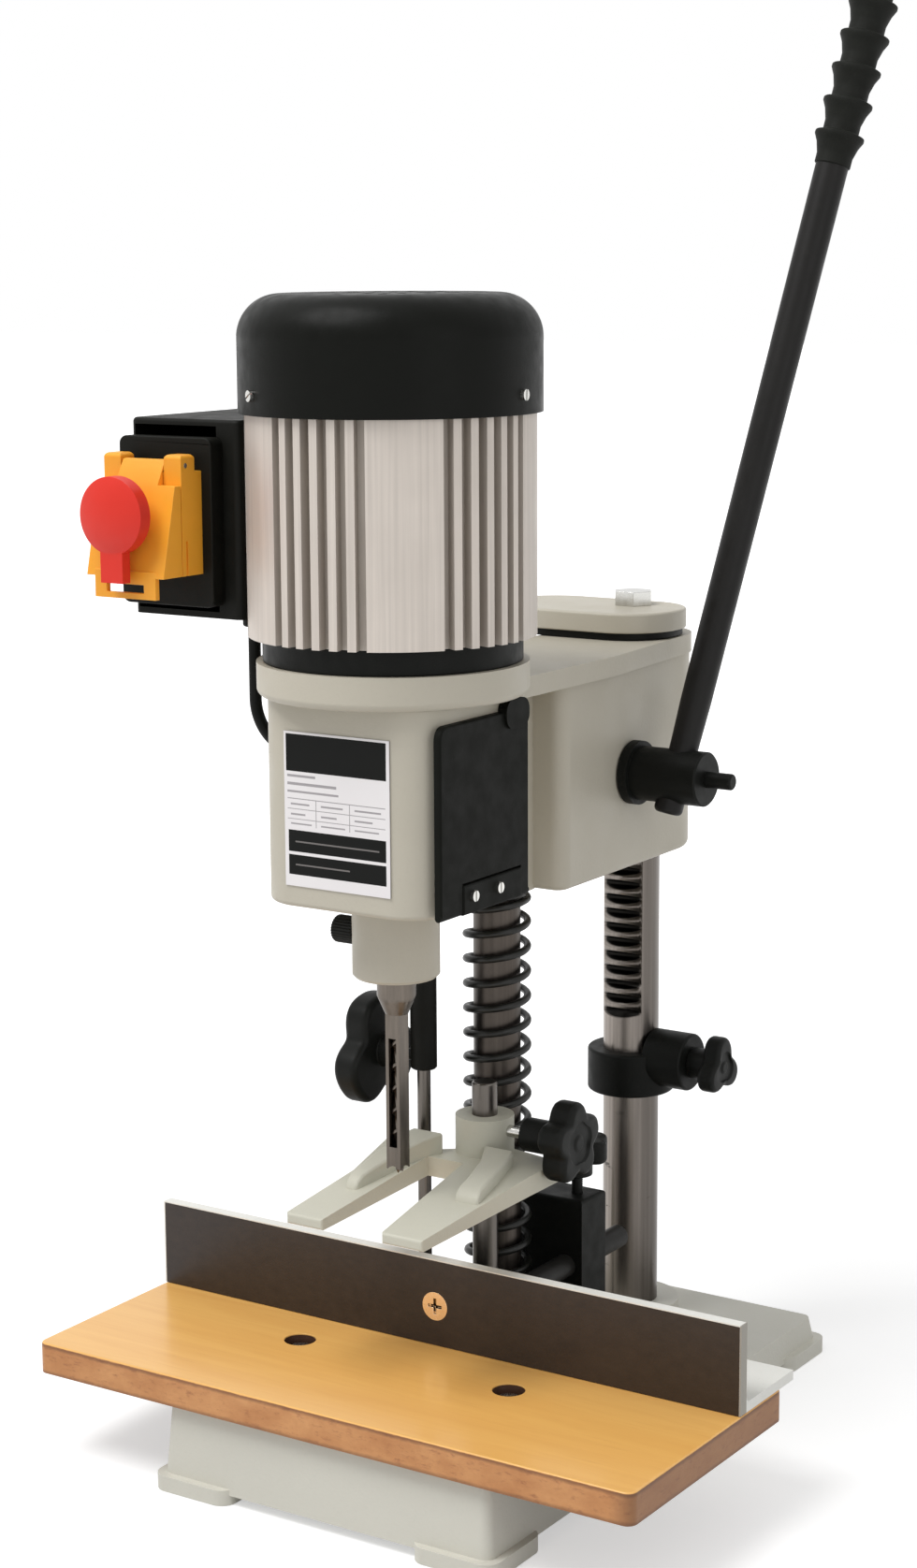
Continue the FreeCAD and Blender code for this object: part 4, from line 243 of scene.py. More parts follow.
def paint(name, colour, rough=(0.40, 0.52)):
    """Paint on a casting: faint cloudy tone, a painted highlight along its edges, orange peel and the
    waviness of the sand mould.
    """
    f = Finish(name, Specular_IOR_Level=0.4)
    cloud = f.noise(14, 4, 0.6)
    speck = f.noise(420, 2, 0.6)
    base = f.mix(cloud, shade(colour, 0.93), shade(colour, 1.06))
    base = f.mix(f.span(speck, 0.55, 0.80, 0.0, 0.10), base, shade(colour, 0.72))
    # Painted highlight along the cast edges
    base = f.mix(f.math("MULTIPLY", f.edges(CAST_EDGE), 0.16), base, shade(colour, 1.30))
    f.colour(base)
    f.roughness(f.span(f.noise(55, 3), 0.3, 0.7, *rough))
    f.bump(f.noise(650, 2, 0.5), PAINT_GRAIN)
    f.bump(f.noise(70, 2, 0.5), MOULD_WAVES, 0.25)
    return f.material


def black_coat(name, colour, rough=0.46, grain=0.00006, level=0.10, painted_edge_highlight=0.35):
    """Black powder coat or moulded plastic; grain is its relief in metres, and the last argument is how
    strong the painted highlight along its edges is.
    """
    f = Finish(name, Specular_IOR_Level=level)
    base = f.mix(f.noise(30, 4, 0.6), shade(colour, 0.80), shade(colour, 1.30))
    dust = f.span(f.noise(240, 5, 0.7), 0.60, 0.86, 0.0, 0.35)
    base = f.mix(dust, base, shade(colour, 2.2))
    # Painted highlight along the edges
    base = f.mix(f.math("MULTIPLY", f.edges(FINE_EDGE), painted_edge_highlight), base, shade(colour, 4.5))
    f.colour(base)
    f.roughness(f.span(f.noise(120, 3), 0.3, 0.7, rough - 0.06, rough + 0.08))
    f.bump(f.noise(1400, 2, 0.5), grain)
    return f.material


def steel(name, colour, rough, stretch=(420, 420, 9), contrast=(0.72, 1.25)):
    """Drawn or ground steel: fine lines along the part, with a faint cloudy tarnish.

    stretch is how dense the lines are along x, y and z; contrast is their darkest and palest share.
    """
    f = Finish(name, Metallic=1.0)
    lines = f.noise(1.0, 5, 0.62, f.stretched(stretch))
    cloud = f.noise(26, 4, 0.6)
    base = f.mix(f.span(lines, 0.28, 0.72), shade(colour, contrast[0]), shade(colour, contrast[1]))
    base = f.mix(f.span(cloud, 0.45, 0.75, 0.0, 0.35), base, shade(colour, 0.70))
    f.colour(base)
    f.roughness(f.span(lines, 0.25, 0.75, rough - 0.05, rough + 0.10))
    f.bump(lines, STEEL_LINES)
    return f.material


# Column, in metres: heights between which the oil fades, the x at which the shaded side begins and
# is full, how far in front of the axis the rack begins, and the radii at which the dark scale
# between its teeth begins and is full
OIL_HEIGHTS = (0.085, 0.150)
SHADED_SIDE = (0.004, 0.0140)
RACK_FRONT = 0.004
RACK_RADII = (0.01485, 0.0136)


def column_finish():
    """Ground column: lines along its length, painted reflection bands along it, painted shade on its +x
    side, black scale in the rack, oil smudges near the foot.
    """
    f = Finish("column_finish", Metallic=1.0)
    colour = tone(154, 146, 139)
    # Painted reflection bands: broad light and dark streaks along the column
    painted_reflection_bands = f.noise(1.0, 3, 0.55, f.stretched((150, 150, 0.8)))
    lines = f.noise(1.0, 5, 0.65, f.stretched((900, 900, 14)))
    base = f.mix(f.span(painted_reflection_bands, 0.32, 0.68), shade(colour, 0.58), shade(colour, 1.22))
    base = f.mix(f.span(lines, 0.35, 0.75, 0.0, 0.40), base, shade(colour, 0.50))
    smudge = f.span(f.noise(1.0, 4, 0.6, f.stretched((70, 70, 160))), 0.66, 0.72)
    low = f.span(f.axis(2), *OIL_HEIGHTS, 1.0, 0.0)
    base = f.mix(f.math("MULTIPLY", smudge, low), base, tone(28, 26, 24))
    base = f.mix(f.span(f.axis(0), *SHADED_SIDE, 0.0, 0.80), base, shade(colour, 0.26))
    front = f.math("LESS_THAN", f.axis(1), COLUMN_Y - RACK_FRONT)
    groove = f.math("MULTIPLY", f.span(f.around(COLUMN_Y), *RACK_RADII), front)
    base = f.mix(groove, base, tone(30, 29, 27))
    f.colour(base)
    f.roughness(f.span(lines, 0.2, 0.8, 0.24, 0.42))
    f.bump(lines, STEEL_LINES)
    return f.material


# Motor, in metres: radii at which the painted shade in the valleys between the fins begins and is darkest
FIN_SHADE_RADII = (0.0668, 0.0622)


def motor_finish():
    """Cast and extruded aluminium, with painted shade in the valleys between the fins."""
    f = Finish("motor_finish", Metallic=0.35, Specular_IOR_Level=0.4)
    colour = tone(206, 197, 188)
    lines = f.noise(1.0, 4, 0.6, f.stretched((500, 500, 7)))
    cloud = f.noise(22, 4, 0.6)
    base = f.mix(f.span(lines, 0.3, 0.7), shade(colour, 0.86), shade(colour, 1.05))
    base = f.mix(f.span(cloud, 0.4, 0.75, 0.0, 0.25), base, shade(colour, 0.78))
    # Painted shade in the valleys between the fins
    valley = f.span(f.around(SPINDLE_Y), *FIN_SHADE_RADII)
    base = f.mix(f.math("MULTIPLY", valley, 0.45), base, tone(140, 134, 125))
    f.colour(base)
    f.roughness(f.span(cloud, 0.3, 0.7, 0.42, 0.56))
    f.bump(lines, MOTOR_GRAIN)
    f.bump(f.noise(900, 2), MOTOR_GRAIN)
    return f.material


# Table board, in metres: depth of the varnish, how far the dark lines fray, where the band under
# the top begins and is full from below and from above, the same for the band above the bottom and
# for the shade at the right end, and how far inside the edges raw wood can only be a hole's wall, with
# painted shade
VARNISH = 0.0006
FRAY = 0.0016
RIM_LOW = (0.0029, 0.0014)
RIM_HIGH = (0.0005, 0.0009)
FOOT_BAND = (0.0022, 0.0008)
SHADED_END = (0.012, 0.001)
HOLE_INSET_X = 0.012
HOLE_INSET_Y = 0.010


def table_finish():
    """Beech-faced board: orange varnish over fine grain on top, raw reddish edge with a frayed rim."""
    low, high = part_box("table_board")
    f = Finish("table_finish", Coat_Roughness=0.16, Coat_Weight=0.35, Specular_IOR_Level=0.4)
    grain = f.noise(1.0, 6, 0.62, f.stretched((5.5, 85, 85)), 0.6)
    fine = f.noise(1.0, 4, 0.7, f.stretched((26, 900, 900)))
    wide = f.noise(1.0, 3, 0.5, f.stretched((1.6, 9, 9)), 0.8)
    top = f.mix(f.span(wide, 0.3, 0.7), tone(246, 192, 110), tone(240, 183, 98))
    top = f.mix(f.span(grain, 0.42, 0.72, 0.0, 0.45), top, tone(226, 160, 80))
    top = f.mix(f.span(fine, 0.60, 0.80, 0.0, 0.40), top, tone(197, 128, 60))
    patch = f.noise(1.0, 5, 0.65, f.stretched((42, 42, 60)))
    raw = f.mix(f.span(patch, 0.32, 0.68), tone(190, 128, 76), tone(214, 154, 98))
    fleck = f.noise(1.0, 5, 0.7, f.stretched((160, 160, 420)))
    raw = f.mix(f.span(fleck, 0.55, 0.75, 0.0, 0.65), raw, tone(140, 80, 50))
    height = f.axis(2)
    ragged = f.math("SUBTRACT", f.noise(150, 5, 0.7), 0.5)
    frayed = f.math("ADD", height, f.math("MULTIPLY", ragged, FRAY))
    rim = f.math("MULTIPLY", f.span(frayed, high.z - RIM_LOW[0], high.z - RIM_LOW[1]),
                 f.span(frayed, high.z - RIM_HIGH[0], high.z - RIM_HIGH[1]))
    raw = f.mix(f.math("MULTIPLY", rim, 0.65), raw, tone(96, 56, 34))
    foot = f.span(frayed, low.z + FOOT_BAND[0], low.z + FOOT_BAND[1], 0.0, 0.55)
    raw = f.mix(foot, raw, tone(104, 64, 42))
    end = f.span(f.axis(0), high.x - SHADED_END[0], high.x - SHADED_END[1])
    raw = f.mix(end, raw, f.mix(0.55, raw, tone(96, 66, 48)))
    # Painted shade on the walls of the screw holes, inside the board's edges
    hole_wall_shade = f.math("MULTIPLY", f.inside(f.axis(0), 0.0, high.x - HOLE_INSET_X),
                  f.inside(f.axis(1), (low.y + high.y) / 2, (high.y - low.y) / 2 - HOLE_INSET_Y))
    raw = f.mix(hole_wall_shade, raw, tone(72, 44, 28))
    is_top = f.math("GREATER_THAN", height, high.z - VARNISH)
    f.colour(f.mix(is_top, raw, top))
    f.roughness(f.span(is_top, 0, 1, 0.72, 0.34))
    f.bump(fine, VARNISH_GRAIN)
    f.bump(f.math("MULTIPLY", fleck, f.math("SUBTRACT", 1.0, is_top)), RAW_WOOD_GRAIN, 0.6)
    return f.material


# Fence, in metres: depth of its film, the bare margin at the ends and the top, the depth of the
# darker right end, and the thickness of the upright wall
FILM = 0.0004
FILM_MARGIN_X = 0.0007
FILM_MARGIN_Z = 0.0006
END_SKIN = 0.0006
WALL_THICKNESS = 0.0060


def fence_finish():
    """Angle fence: brown film on its face, pale paint on every other side."""
    low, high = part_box("fence")
    f = Finish("fence_finish", Specular_IOR_Level=0.4)
    face = f.math("LESS_THAN", f.axis(1), low.y + FILM)
    inset = f.math("MULTIPLY", f.inside(f.axis(0), 0.0, high.x - FILM_MARGIN_X),
                   f.math("LESS_THAN", f.axis(2), high.z - FILM_MARGIN_Z))
    face = f.math("MULTIPLY", face, inset)
    mottle = f.noise(1.0, 5, 0.65, f.stretched((120, 60, 190)))
    film = f.mix(f.span(mottle, 0.3, 0.72), tone(35, 27, 23), tone(50, 40, 33))
    film = f.mix(f.span(f.noise(9, 3), 0.35, 0.7, 0.0, 0.35), film, tone(58, 46, 38))
    pale = f.mix(f.noise(40, 4), tone(234, 234, 228), tone(242, 241, 235))
    pale = f.mix(f.span(f.noise(230, 4, 0.7), 0.62, 0.80, 0.0, 0.4), pale, tone(168, 165, 158))
    end = f.math("MULTIPLY", f.math("GREATER_THAN", f.axis(0), high.x - END_SKIN),
                 f.math("LESS_THAN", f.axis(1), low.y + WALL_THICKNESS))
    pale = f.mix(f.math("MULTIPLY", end, 0.8), pale, tone(132, 125, 112))
    f.colour(f.mix(face, pale, film))
    f.roughness(f.span(face, 0, 1, 0.46, 0.40))
    f.bump(f.noise(900, 3, 0.6), FENCE_GRAIN)
    return f.material


# How deep light goes into coloured plastic, in metres
UNDER_DEPTH = 0.002


def plastic(name, colour, rough, level=0.4, under=0.0):
    """Moulded coloured plastic with a faint flow pattern; under is the share of light that goes in."""
    f = Finish(name, Specular_IOR_Level=level, Subsurface_Weight=under, Subsurface_Scale=UNDER_DEPTH)
    base = f.mix(f.noise(45, 3, 0.55), shade(colour, 0.92), shade(colour, 1.06))
    # Painted highlight along the edges
    base = f.mix(f.math("MULTIPLY", f.edges(FINE_EDGE), 0.30), base, shade(colour, 1.25))
    f.colour(base)
    f.roughness(f.span(f.noise(160, 3), 0.3, 0.7, rough - 0.05, rough + 0.08))
    f.bump(f.noise(1600, 2, 0.5), PLASTIC_GRAIN)
    return f.material


def rubber(name, colour, rough=0.62):
    f = Finish(name, Specular_IOR_Level=0.12)
    base = f.mix(f.noise(60, 4, 0.6), shade(colour, 0.75), shade(colour, 1.35))
    base = f.mix(f.span(f.noise(300, 5, 0.7), 0.58, 0.82, 0.0, 0.30), base, shade(colour, 2.4))
    f.colour(base)
    f.roughness(f.span(f.noise(90, 3), 0.3, 0.7, rough - 0.08, rough + 0.10))
    f.bump(f.noise(1100, 3, 0.6), RUBBER_GRAIN)
    return f.material


# Half width and half reach of the brass screw's cross recess, in metres
CROSS_WIDTH = 0.0007
CROSS_REACH = 0.0034

# Rating plate: each bar is left, right, bottom and top as shares of the plate
DARK_BARS = ((0.02, 0.97, 0.745, 0.985), (0.035, 0.965, 0.225, 0.365), (0.035, 0.965, 0.075, 0.205))
GREY_BARS = ((0.03, 0.30, 0.708, 0.724), (0.03, 0.50, 0.656, 0.674), (0.03, 0.52, 0.608, 0.622),
             (0.03, 0.96, 0.566, 0.572), (0.03, 0.96, 0.500, 0.505), (0.03, 0.96, 0.435, 0.440),
             (0.30, 0.307, 0.392, 0.570), (0.62, 0.627, 0.392, 0.570), (0.06, 0.24, 0.528, 0.540),
             (0.35, 0.56, 0.528, 0.540), (0.67, 0.92, 0.528, 0.540), (0.06, 0.20, 0.462, 0.474),
             (0.35, 0.50, 0.462, 0.474), (0.67, 0.84, 0.462, 0.474), (0.06, 0.26, 0.402, 0.412),
             (0.35, 0.58, 0.402, 0.412), (0.67, 0.90, 0.402, 0.412))
PALE_BARS = ((0.10, 0.90, 0.286, 0.296), (0.10, 0.62, 0.136, 0.146))


def plate_finish():
    """Plain printed plate: dark bands with pale lines, and grey lines, that spell nothing."""
    low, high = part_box("name_plate")
    f = Finish("plate_finish", Specular_IOR_Level=0.12)
    across = f.span(f.axis(0), low.x, high.x)
    up = f.span(f.axis(2), low.z, high.z)

    def bars(rows):
        total = None
        for left, right, bottom, top in rows:
            mask = f.math("MULTIPLY", f.inside(across, (left + right) / 2, (right - left) / 2),
                          f.inside(up, (bottom + top) / 2, (top - bottom) / 2))
            total = mask if total is None else f.math("MAXIMUM", total, mask)
        return total

    base = f.mix(f.noise(30, 3), tone(236, 232, 233), tone(244, 241, 241))
    base = f.mix(bars(GREY_BARS), base, tone(168, 164, 166))
    base = f.mix(bars(DARK_BARS), base, tone(7, 8, 6))
    base = f.mix(bars(PALE_BARS), base, tone(120, 116, 114))
    f.colour(base)
    f.roughness(f.span(f.noise(80, 2), 0.3, 0.7, 0.30, 0.42))
    f.bump(f.noise(500, 2), PLATE_GRAIN)
    return f.material


def brass_finish():
    """Pale brass, with painted shade for a cross recess in the middle of the head."""
    low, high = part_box("fence_screw")
    f = Finish("brass_finish", Metallic=1.0)
    base = f.mix(f.noise(300, 4, 0.6), tone(226, 198, 160), tone(246, 224, 194))
    east = f.axis(0)
    up = f.axis(2)
    middle = (low.z + high.z) / 2
    cross = f.math("MAXIMUM",
                   f.math("MULTIPLY", f.inside(east, 0.0, CROSS_WIDTH),
                          f.inside(up, middle, CROSS_REACH)),
                   f.math("MULTIPLY", f.inside(east, 0.0, CROSS_REACH),
                          f.inside(up, middle, CROSS_WIDTH)))
    # Painted shade in the cross recess
    f.colour(f.mix(cross, base, tone(48, 38, 26)))
    f.roughness(f.span(cross, 0, 1, 0.26, 0.7))
    return f.material


FINISHES = {
    "base_paint": paint("base_paint_finish", tone(210, 208, 197)),
    "head_paint": paint("head_paint_finish", tone(191, 185, 170)),
    "fork_paint": paint("fork_paint_finish", tone(202, 200, 185), rough=(0.44, 0.56)),
    "black_paint": black_coat("black_paint_finish", tone(19, 20, 18)),
    "guide_black": black_coat("guide_black_finish", tone(19, 20, 18), 0.50, 0.00010, 0.10, 0.5),
    "lever_black": black_coat("lever_black_finish", tone(27, 26, 25), 0.42, 0.00004, 0.16, 0.3),
    "cap_black": black_coat("cap_black_finish", tone(12, 13, 10), 0.40, 0.00004, 0.09, 0.3),
    "plastic_black": black_coat("plastic_black_finish", tone(20, 20, 17), 0.50, 0.00005, 0.10, 0.3),
    "door_black": black_coat("door_black_finish", tone(15, 16, 13), 0.52, 0.00006, 0.07, 0.25),
    "knob_black": black_coat("knob_black_finish", tone(19, 20, 18), 0.46, 0.00005, 0.14, 0.5),
    "grip_rubber": rubber("grip_rubber_finish", tone(27, 28, 25)),
    "cable_rubber": rubber("cable_rubber_finish", tone(20, 21, 19), 0.50),
    "column_steel": column_finish(),
    "post_steel": steel("post_steel_finish", tone(78, 72, 67), 0.38),
    "spring_steel": black_coat("spring_steel_finish", tone(24, 24, 21), 0.36, 0.00002, 0.32, 0.0),
    "tool_steel": steel("tool_steel_finish", tone(104, 97, 90), 0.34, (300, 300, 30)),
    "plated_steel": steel("plated_steel_finish", tone(206, 205, 201), 0.20, (260, 260, 40), (0.86, 1.12)),
    "bright_steel": steel("bright_steel_finish", tone(176, 174, 170), 0.24, (500, 500, 16), (0.80, 1.15)),
    "rod_steel": steel("rod_steel_finish", tone(104, 99, 94), 0.30, (500, 500, 16), (0.80, 1.15)),
    "core_steel": steel("core_steel_finish", tone(104, 102, 100), 0.42, (60, 60, 1800)),
    "dark_steel": black_coat("dark_steel_finish", tone(34, 33, 31), 0.45, 0.00005, 0.15, 0.3),
    "motor_aluminium": motor_finish(),
    "brass": brass_finish(),
    "yellow_plastic": plastic("yellow_plastic_finish", tone(244, 168, 50), 0.36, 0.35, 0.08),
    "red_plastic": plastic("red_plastic_finish", tone(220, 50, 37), 0.36, 0.30, 0.05),
    "green_plastic": plastic("green_plastic_finish", tone(40, 142, 72), 0.32),
    "table_wood": table_finish(),
    "fence_wood": fence_finish(),
    "label": plate_finish(),
}

# node: finish, and the width in millimetres of the soft edge that its corners get
DRESS = {
    "base_casting": ("base_paint", 1.0), "column": ("column_steel", 0), "cap_plate": ("head_paint", 0.8),
    "cap_bolt": ("plated_steel", 0.5), "stop_buffer": ("cable_rubber", 0.6),
    "table_board": ("table_wood", 0.3), "table_screws": ("bright_steel", 0.3),
    "spring_post": ("post_steel", 0.3), "spring_seat": ("dark_steel", 0.5),
    "head_spring": ("spring_steel", 0), "hold_down_rod": ("rod_steel", 0.3),
    "head_lock_rod": ("rod_steel", 0.2), "fence_guide_block": ("guide_black", 0.8),
    "fence_block_bolts": ("plated_steel", 0.4), "fence_lock_knob": ("knob_black", 0.9),
    "fence": ("fence_wood", 0.35), "fence_screw": ("brass", 0.15), "fence_carrier": ("guide_black", 0.8),
    "fence_guide_rod": ("dark_steel", 0.4), "hold_down_fork": ("fork_paint", 0.7),
    "fork_lock_screw": ("plated_steel", 0.2), "fork_lock_knob": ("knob_black", 1.0),
    "depth_collar": ("black_paint", 0.6), "collar_knob": ("knob_black", 1.0),
    "head_casting": ("head_paint", 1.0), "name_plate": ("label", 0), "access_door": ("door_black", 0.5),
    "door_hinge_strip": ("door_black", 0.5), "door_hinge_pin": ("bright_steel", 0.2),
    "small_screws": ("plated_steel", 0.15), "pinion_gear": ("tool_steel", 0),
    "pinion_shaft": ("tool_steel", 0.4), "shaft_clip": ("spring_steel", 0.2),
    "lever_hub": ("black_paint", 0.7), "lever_rod": ("lever_black", 0.4),
    "lever_grip": ("grip_rubber", 0.5), "hub_pin": ("black_paint", 0.4),
    "motor_flange": ("black_paint", 0.6), "motor_housing": ("motor_aluminium", 0.3),
    "fan_cap": ("cap_black", 0.5), "stator": ("core_steel", 0), "motor_bearings": ("tool_steel", 0),
    "rotor_shaft": ("core_steel", 0), "cooling_fan": ("plastic_black", 0),
    "drill_chuck": ("tool_steel", 0.3), "auger_bit": ("tool_steel", 0),
    "hollow_chisel": ("tool_steel", 0.12), "chisel_lock_screw": ("knob_black", 0.5),
    "lock_sleeve": ("plastic_black", 0.4), "head_lock_knob": ("knob_black", 1.2),
    "switch_box": ("plastic_black", 0.9), "switch_bezel": ("plastic_black", 0.7),
    "switch_housing": ("yellow_plastic", 0.5), "flap_pin": ("bright_steel", 0.1),
    "stop_flap": ("yellow_plastic", 0.4), "stop_mushroom": ("red_plastic", 0.6),
    "stop_button": ("red_plastic", 0.4), "start_button": ("green_plastic", 0.4),
    "switch_lead": ("cable_rubber", 0), "lead_gland": ("plastic_black", 0.3),
}

# Vertices nearer than this are one, faces flatter than this are one, corners sharper than this are
# rounded
WELD_REACH = 2e-6
FLAT_ANGLE = math.radians(0.4)
CORNER_ANGLE = math.radians(32)
EDGE_SEGMENTS = 2


def soft_edges(obj, width):
    """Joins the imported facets, lays a narrow rounded edge on the corners and shades the rest smooth."""
    weld = obj.modifiers.new("weld", "WELD")
    weld.merge_threshold = WELD_REACH
    if width:
        plain = obj.modifiers.new("plain", "DECIMATE")
        plain.decimate_type = "DISSOLVE"
        plain.angle_limit = FLAT_ANGLE
        bevel = obj.modifiers.new("edge", "BEVEL")
        bevel.width = width * MM
        bevel.segments = EDGE_SEGMENTS
        bevel.limit_method = "ANGLE"
        bevel.angle_limit = CORNER_ANGLE
        bevel.harden_normals = False
    even = obj.modifiers.new("even", "WEIGHTED_NORMAL")
    even.keep_sharp = True


def smooth_faces(mesh):
    """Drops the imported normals, so that the modifiers set them anew."""
    custom = mesh.attributes.get("custom_normal")
    if custom:
        mesh.attributes.remove(custom)
    mesh.shade_smooth()


def dress_nodes():
    for name, obj in NODES.items():
        finish, width = DRESS[name]
        obj.data.materials.clear()
        obj.data.materials.append(FINISHES[finish])
        smooth_faces(obj.data)
        soft_edges(obj, width)


# Pieces that take the place of plain solids, or lie on them

def join_rings(work, rings):
    """Faces between each ring of vertices and the next."""
    for lower, upper in zip(rings, rings[1:]):
        for side in range(len(lower)):
            after = (side + 1) % len(lower)
            work.faces.new((lower[side], lower[after], upper[after], upper[side]))


def cap_rings(work, rings):
    work.faces.new(rings[0])
    work.faces.new(list(reversed(rings[-1])))


def finished_mesh(name, work):
    bmesh.ops.recalc_face_normals(work, faces=work.faces)
    mesh = bpy.data.meshes.new(name)
    work.to_mesh(mesh)
    work.free()
    return mesh


def add_piece(name, mesh, finish, body, slot, *replaced):
    obj = bpy.data.objects.new(name, mesh)
    bpy.context.scene.collection.objects.link(obj)
    mesh.materials.append(FINISHES[finish])
    mesh.shade_smooth()
    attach(obj, body)
    if replaced:
        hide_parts(*replaced)
    return obj


# Return spring: radius of its wire in metres, turns, rings to a turn, sides of the wire, and closed turns
# at each end and their pitch against the wire's width
SPRING_WIRE = 1.9 * MM
SPRING_TURNS = 21
SPRING_STEPS = 30
SPRING_SIDES = 12
SPRING_CLOSED = 1.0
CLOSED_PITCH_SHARE = 1.04


def spring_mesh(low, high):
    """Round wire wound at an even pitch, with its end turns closed and laid flat."""
    centre = (low + high) / 2
    radius = (high.x - low.x) / 2 - SPRING_WIRE
    bottom, top = low.z + SPRING_WIRE, high.z - SPRING_WIRE
    closed = 2 * SPRING_WIRE * CLOSED_PITCH_SHARE
    open_pitch = (top - bottom - 2 * SPRING_CLOSED * closed) / (SPRING_TURNS - 2 * SPRING_CLOSED)
    total = SPRING_TURNS * SPRING_STEPS
    points = []
    for step in range(total + 1):
        turns = step / SPRING_STEPS
        first = min(turns, SPRING_CLOSED)
        last = max(0.0, turns - (SPRING_TURNS - SPRING_CLOSED))
        z = bottom + (first + last) * closed + (turns - first - last) * open_pitch
        angle = math.tau * turns
        east, north = radius * math.cos(angle), radius * math.sin(angle)
        points.append(Vector((centre.x + east, centre.y + north, z)))
    return tube_mesh("spring_wire", points, SPRING_WIRE, SPRING_SIDES)


def tube_mesh(name, points, radius, sides):
    """Round tube along a line of points."""
    work = bmesh.new()
    rings = []
    for index, point in enumerate(points):
        ahead = points[min(index + 1, len(points) - 1)]
        behind = points[max(index - 1, 0)]
        along = (ahead - behind).normalized()
        across = along.cross(Vector((0, 0, 1))).normalized()
        other = along.cross(across)
        ring = []
        for side in range(sides):
            angle = math.tau * side / sides
            ray = across * math.cos(angle) + other * math.sin(angle)
            ring.append(work.verts.new(point + ray * radius))
        rings.append(ring)
    join_rings(work, rings)
    cap_rings(work, rings)
    return finished_mesh(name, work)


def return_spring():
    low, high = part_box("head_spring")
    spring = add_piece("return_spring", spring_mesh(low, high),
                       "spring_steel", "base", "spring_steel", "head_spring")
    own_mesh(spring)


# Turned and moulded pieces are rows of rings, in millimetres: distance along the axis, radius, and
# depth of the valleys between the lobes. A thread has its pitch and depth, where its first crest
# stands and how much of the shank it leaves plain
EDGE_STEPS = 4
THREAD_PITCH = 1.25
THREAD_DEPTH = 0.32
THREAD_RUN_IN = 0.6
THREAD_PLAIN = 1.0
STUD_RADIUS = 3.0
# Planes across an axis, from which angles are measured
SIDE = (Vector((0, 1, 0)), Vector((0, 0, 1)))
TOP = (Vector((1, 0, 0)), Vector((0, 1, 0)))


def rounded_rows(start, length, radius, edge, valley=0.0):
    """A round body with both its edges rounded."""
    turns = [math.pi / 2 * step / EDGE_STEPS for step in range(EDGE_STEPS + 1)]
    corner = [(edge * (1 - math.cos(turn)), radius - edge * (1 - math.sin(turn))) for turn in turns]
    rows = [(start + along, reach, valley) for along, reach in corner]
    rows += [(start + length - along, reach, valley) for along, reach in reversed(corner)]
    return rows


def thread_rows(start, end, radius):
    """A screw's shank, with a ring for each turn of the thread."""
    rows = [(start, radius - 2 * THREAD_DEPTH, 0), (start + THREAD_DEPTH, radius - THREAD_DEPTH, 0)]
    count = int((end - start - THREAD_PLAIN) / THREAD_PITCH)
    for turn in range(count):
        at = start + THREAD_RUN_IN + turn * THREAD_PITCH
        rows.append((at, radius, 0))
        rows.append((at + THREAD_PITCH / 2, radius - THREAD_DEPTH, 0))
    rows.append((end, radius, 0))
    return rows


def turned_mesh(name, base, along, plane, rows, lobes=0, phase=0.0, breadth=1.0, sides=144):
    """Rings about an axis from base; breadth above 1 makes broad lobes with narrow valleys."""
    work = bmesh.new()
    rings = []
    for distance, radius, valley in rows:
        centre = (Vector(base) + Vector(along) * distance) * MM
        ring = []
        for side in range(sides):
            angle = math.tau * side / sides
            drawn = ((1 - math.cos(lobes * (angle - phase))) / 2) ** breadth
            reach = (radius - valley * drawn) * MM
            ray = plane[0] * math.cos(angle) + plane[1] * math.sin(angle)
            ring.append(work.verts.new(centre + ray * reach))
        rings.append(ring)
    join_rings(work, rings)
    cap_rings(work, rings)
    return finished_mesh(name, work)


# Lobed knobs, in millimetres and degrees: a hub on the base, then the lobed body; stud is how far a
# threaded stud goes the other way, phase is the first lobe's angle, edge is the rounding
KNOBS = (
    {"name": "fork_knob", "node": "fork_lock_knob", "body": "fork_knob",
     "base": (30.75, -31.3, 165.0), "along": (1, 0, 0), "plane": SIDE, "radius": 20.5, "length": 14.0,
     "hub_radius": 8.5, "hub_length": 17.0, "edge": 3.4, "valley": 5.0, "stud": 0.0,
     "lobes": 5, "phase": 90, "breadth": 1.5},
    {"name": "fence_knob", "node": "fence_lock_knob", "body": "fence_knob",
     "base": (21.5, 33.0, 125.0), "along": (0, 0, 1), "plane": TOP, "radius": 17.0, "length": 12.0,
     "hub_radius": 8.0, "hub_length": 8.0, "edge": 2.8, "valley": 3.6, "stud": 39.7,
     "lobes": 6, "phase": 0, "breadth": 1.4},
    {"name": "collar_wing", "node": "collar_knob", "body": "collar_clamp",
     "base": (38.5, 126.0, 165.0), "along": (1, 0, 0), "plane": SIDE, "radius": 16.5, "length": 10.0,
     "hub_radius": 8.5, "hub_length": 10.0, "edge": 2.6, "valley": 6.5, "stud": 23.2,
     "lobes": 3, "phase": 90, "breadth": 1.2},
    {"name": "lock_wing", "node": "head_lock_knob", "body": "lock_knob",
     "base": (-45.0, -33.5, 196.5), "along": (-1, 0, 0), "plane": SIDE, "radius": 29.3, "length": 14.0,
     "hub_radius": 8.5, "hub_length": 7.0, "edge": 3.6, "valley": 9.6, "stud": 12.3,
     "lobes": 3, "phase": 95, "breadth": 2.6},
)
# Hub: distance from its start and what its radius gains there; the same at its end
HUB_START = ((0.0, -0.6), (0.2, -0.2), (0.6, 0.0))
HUB_END = ((-0.5, 0.0), (0.0, 0.5))
# Dish in the end face: depth, radius as a share of the knob's, and share of the valleys that is left
DISH = ((0.0, 0.56, 0.3), (0.3, 0.54, 0.2), (0.9, 0.50, 0.0), (1.1, 0.46, 0.0), (1.1, 0.24, 0.0),
        (0.9, 0.21, 0.0), (0.4, 0.17, 0.0), (0.2, 0.12, 0.0))


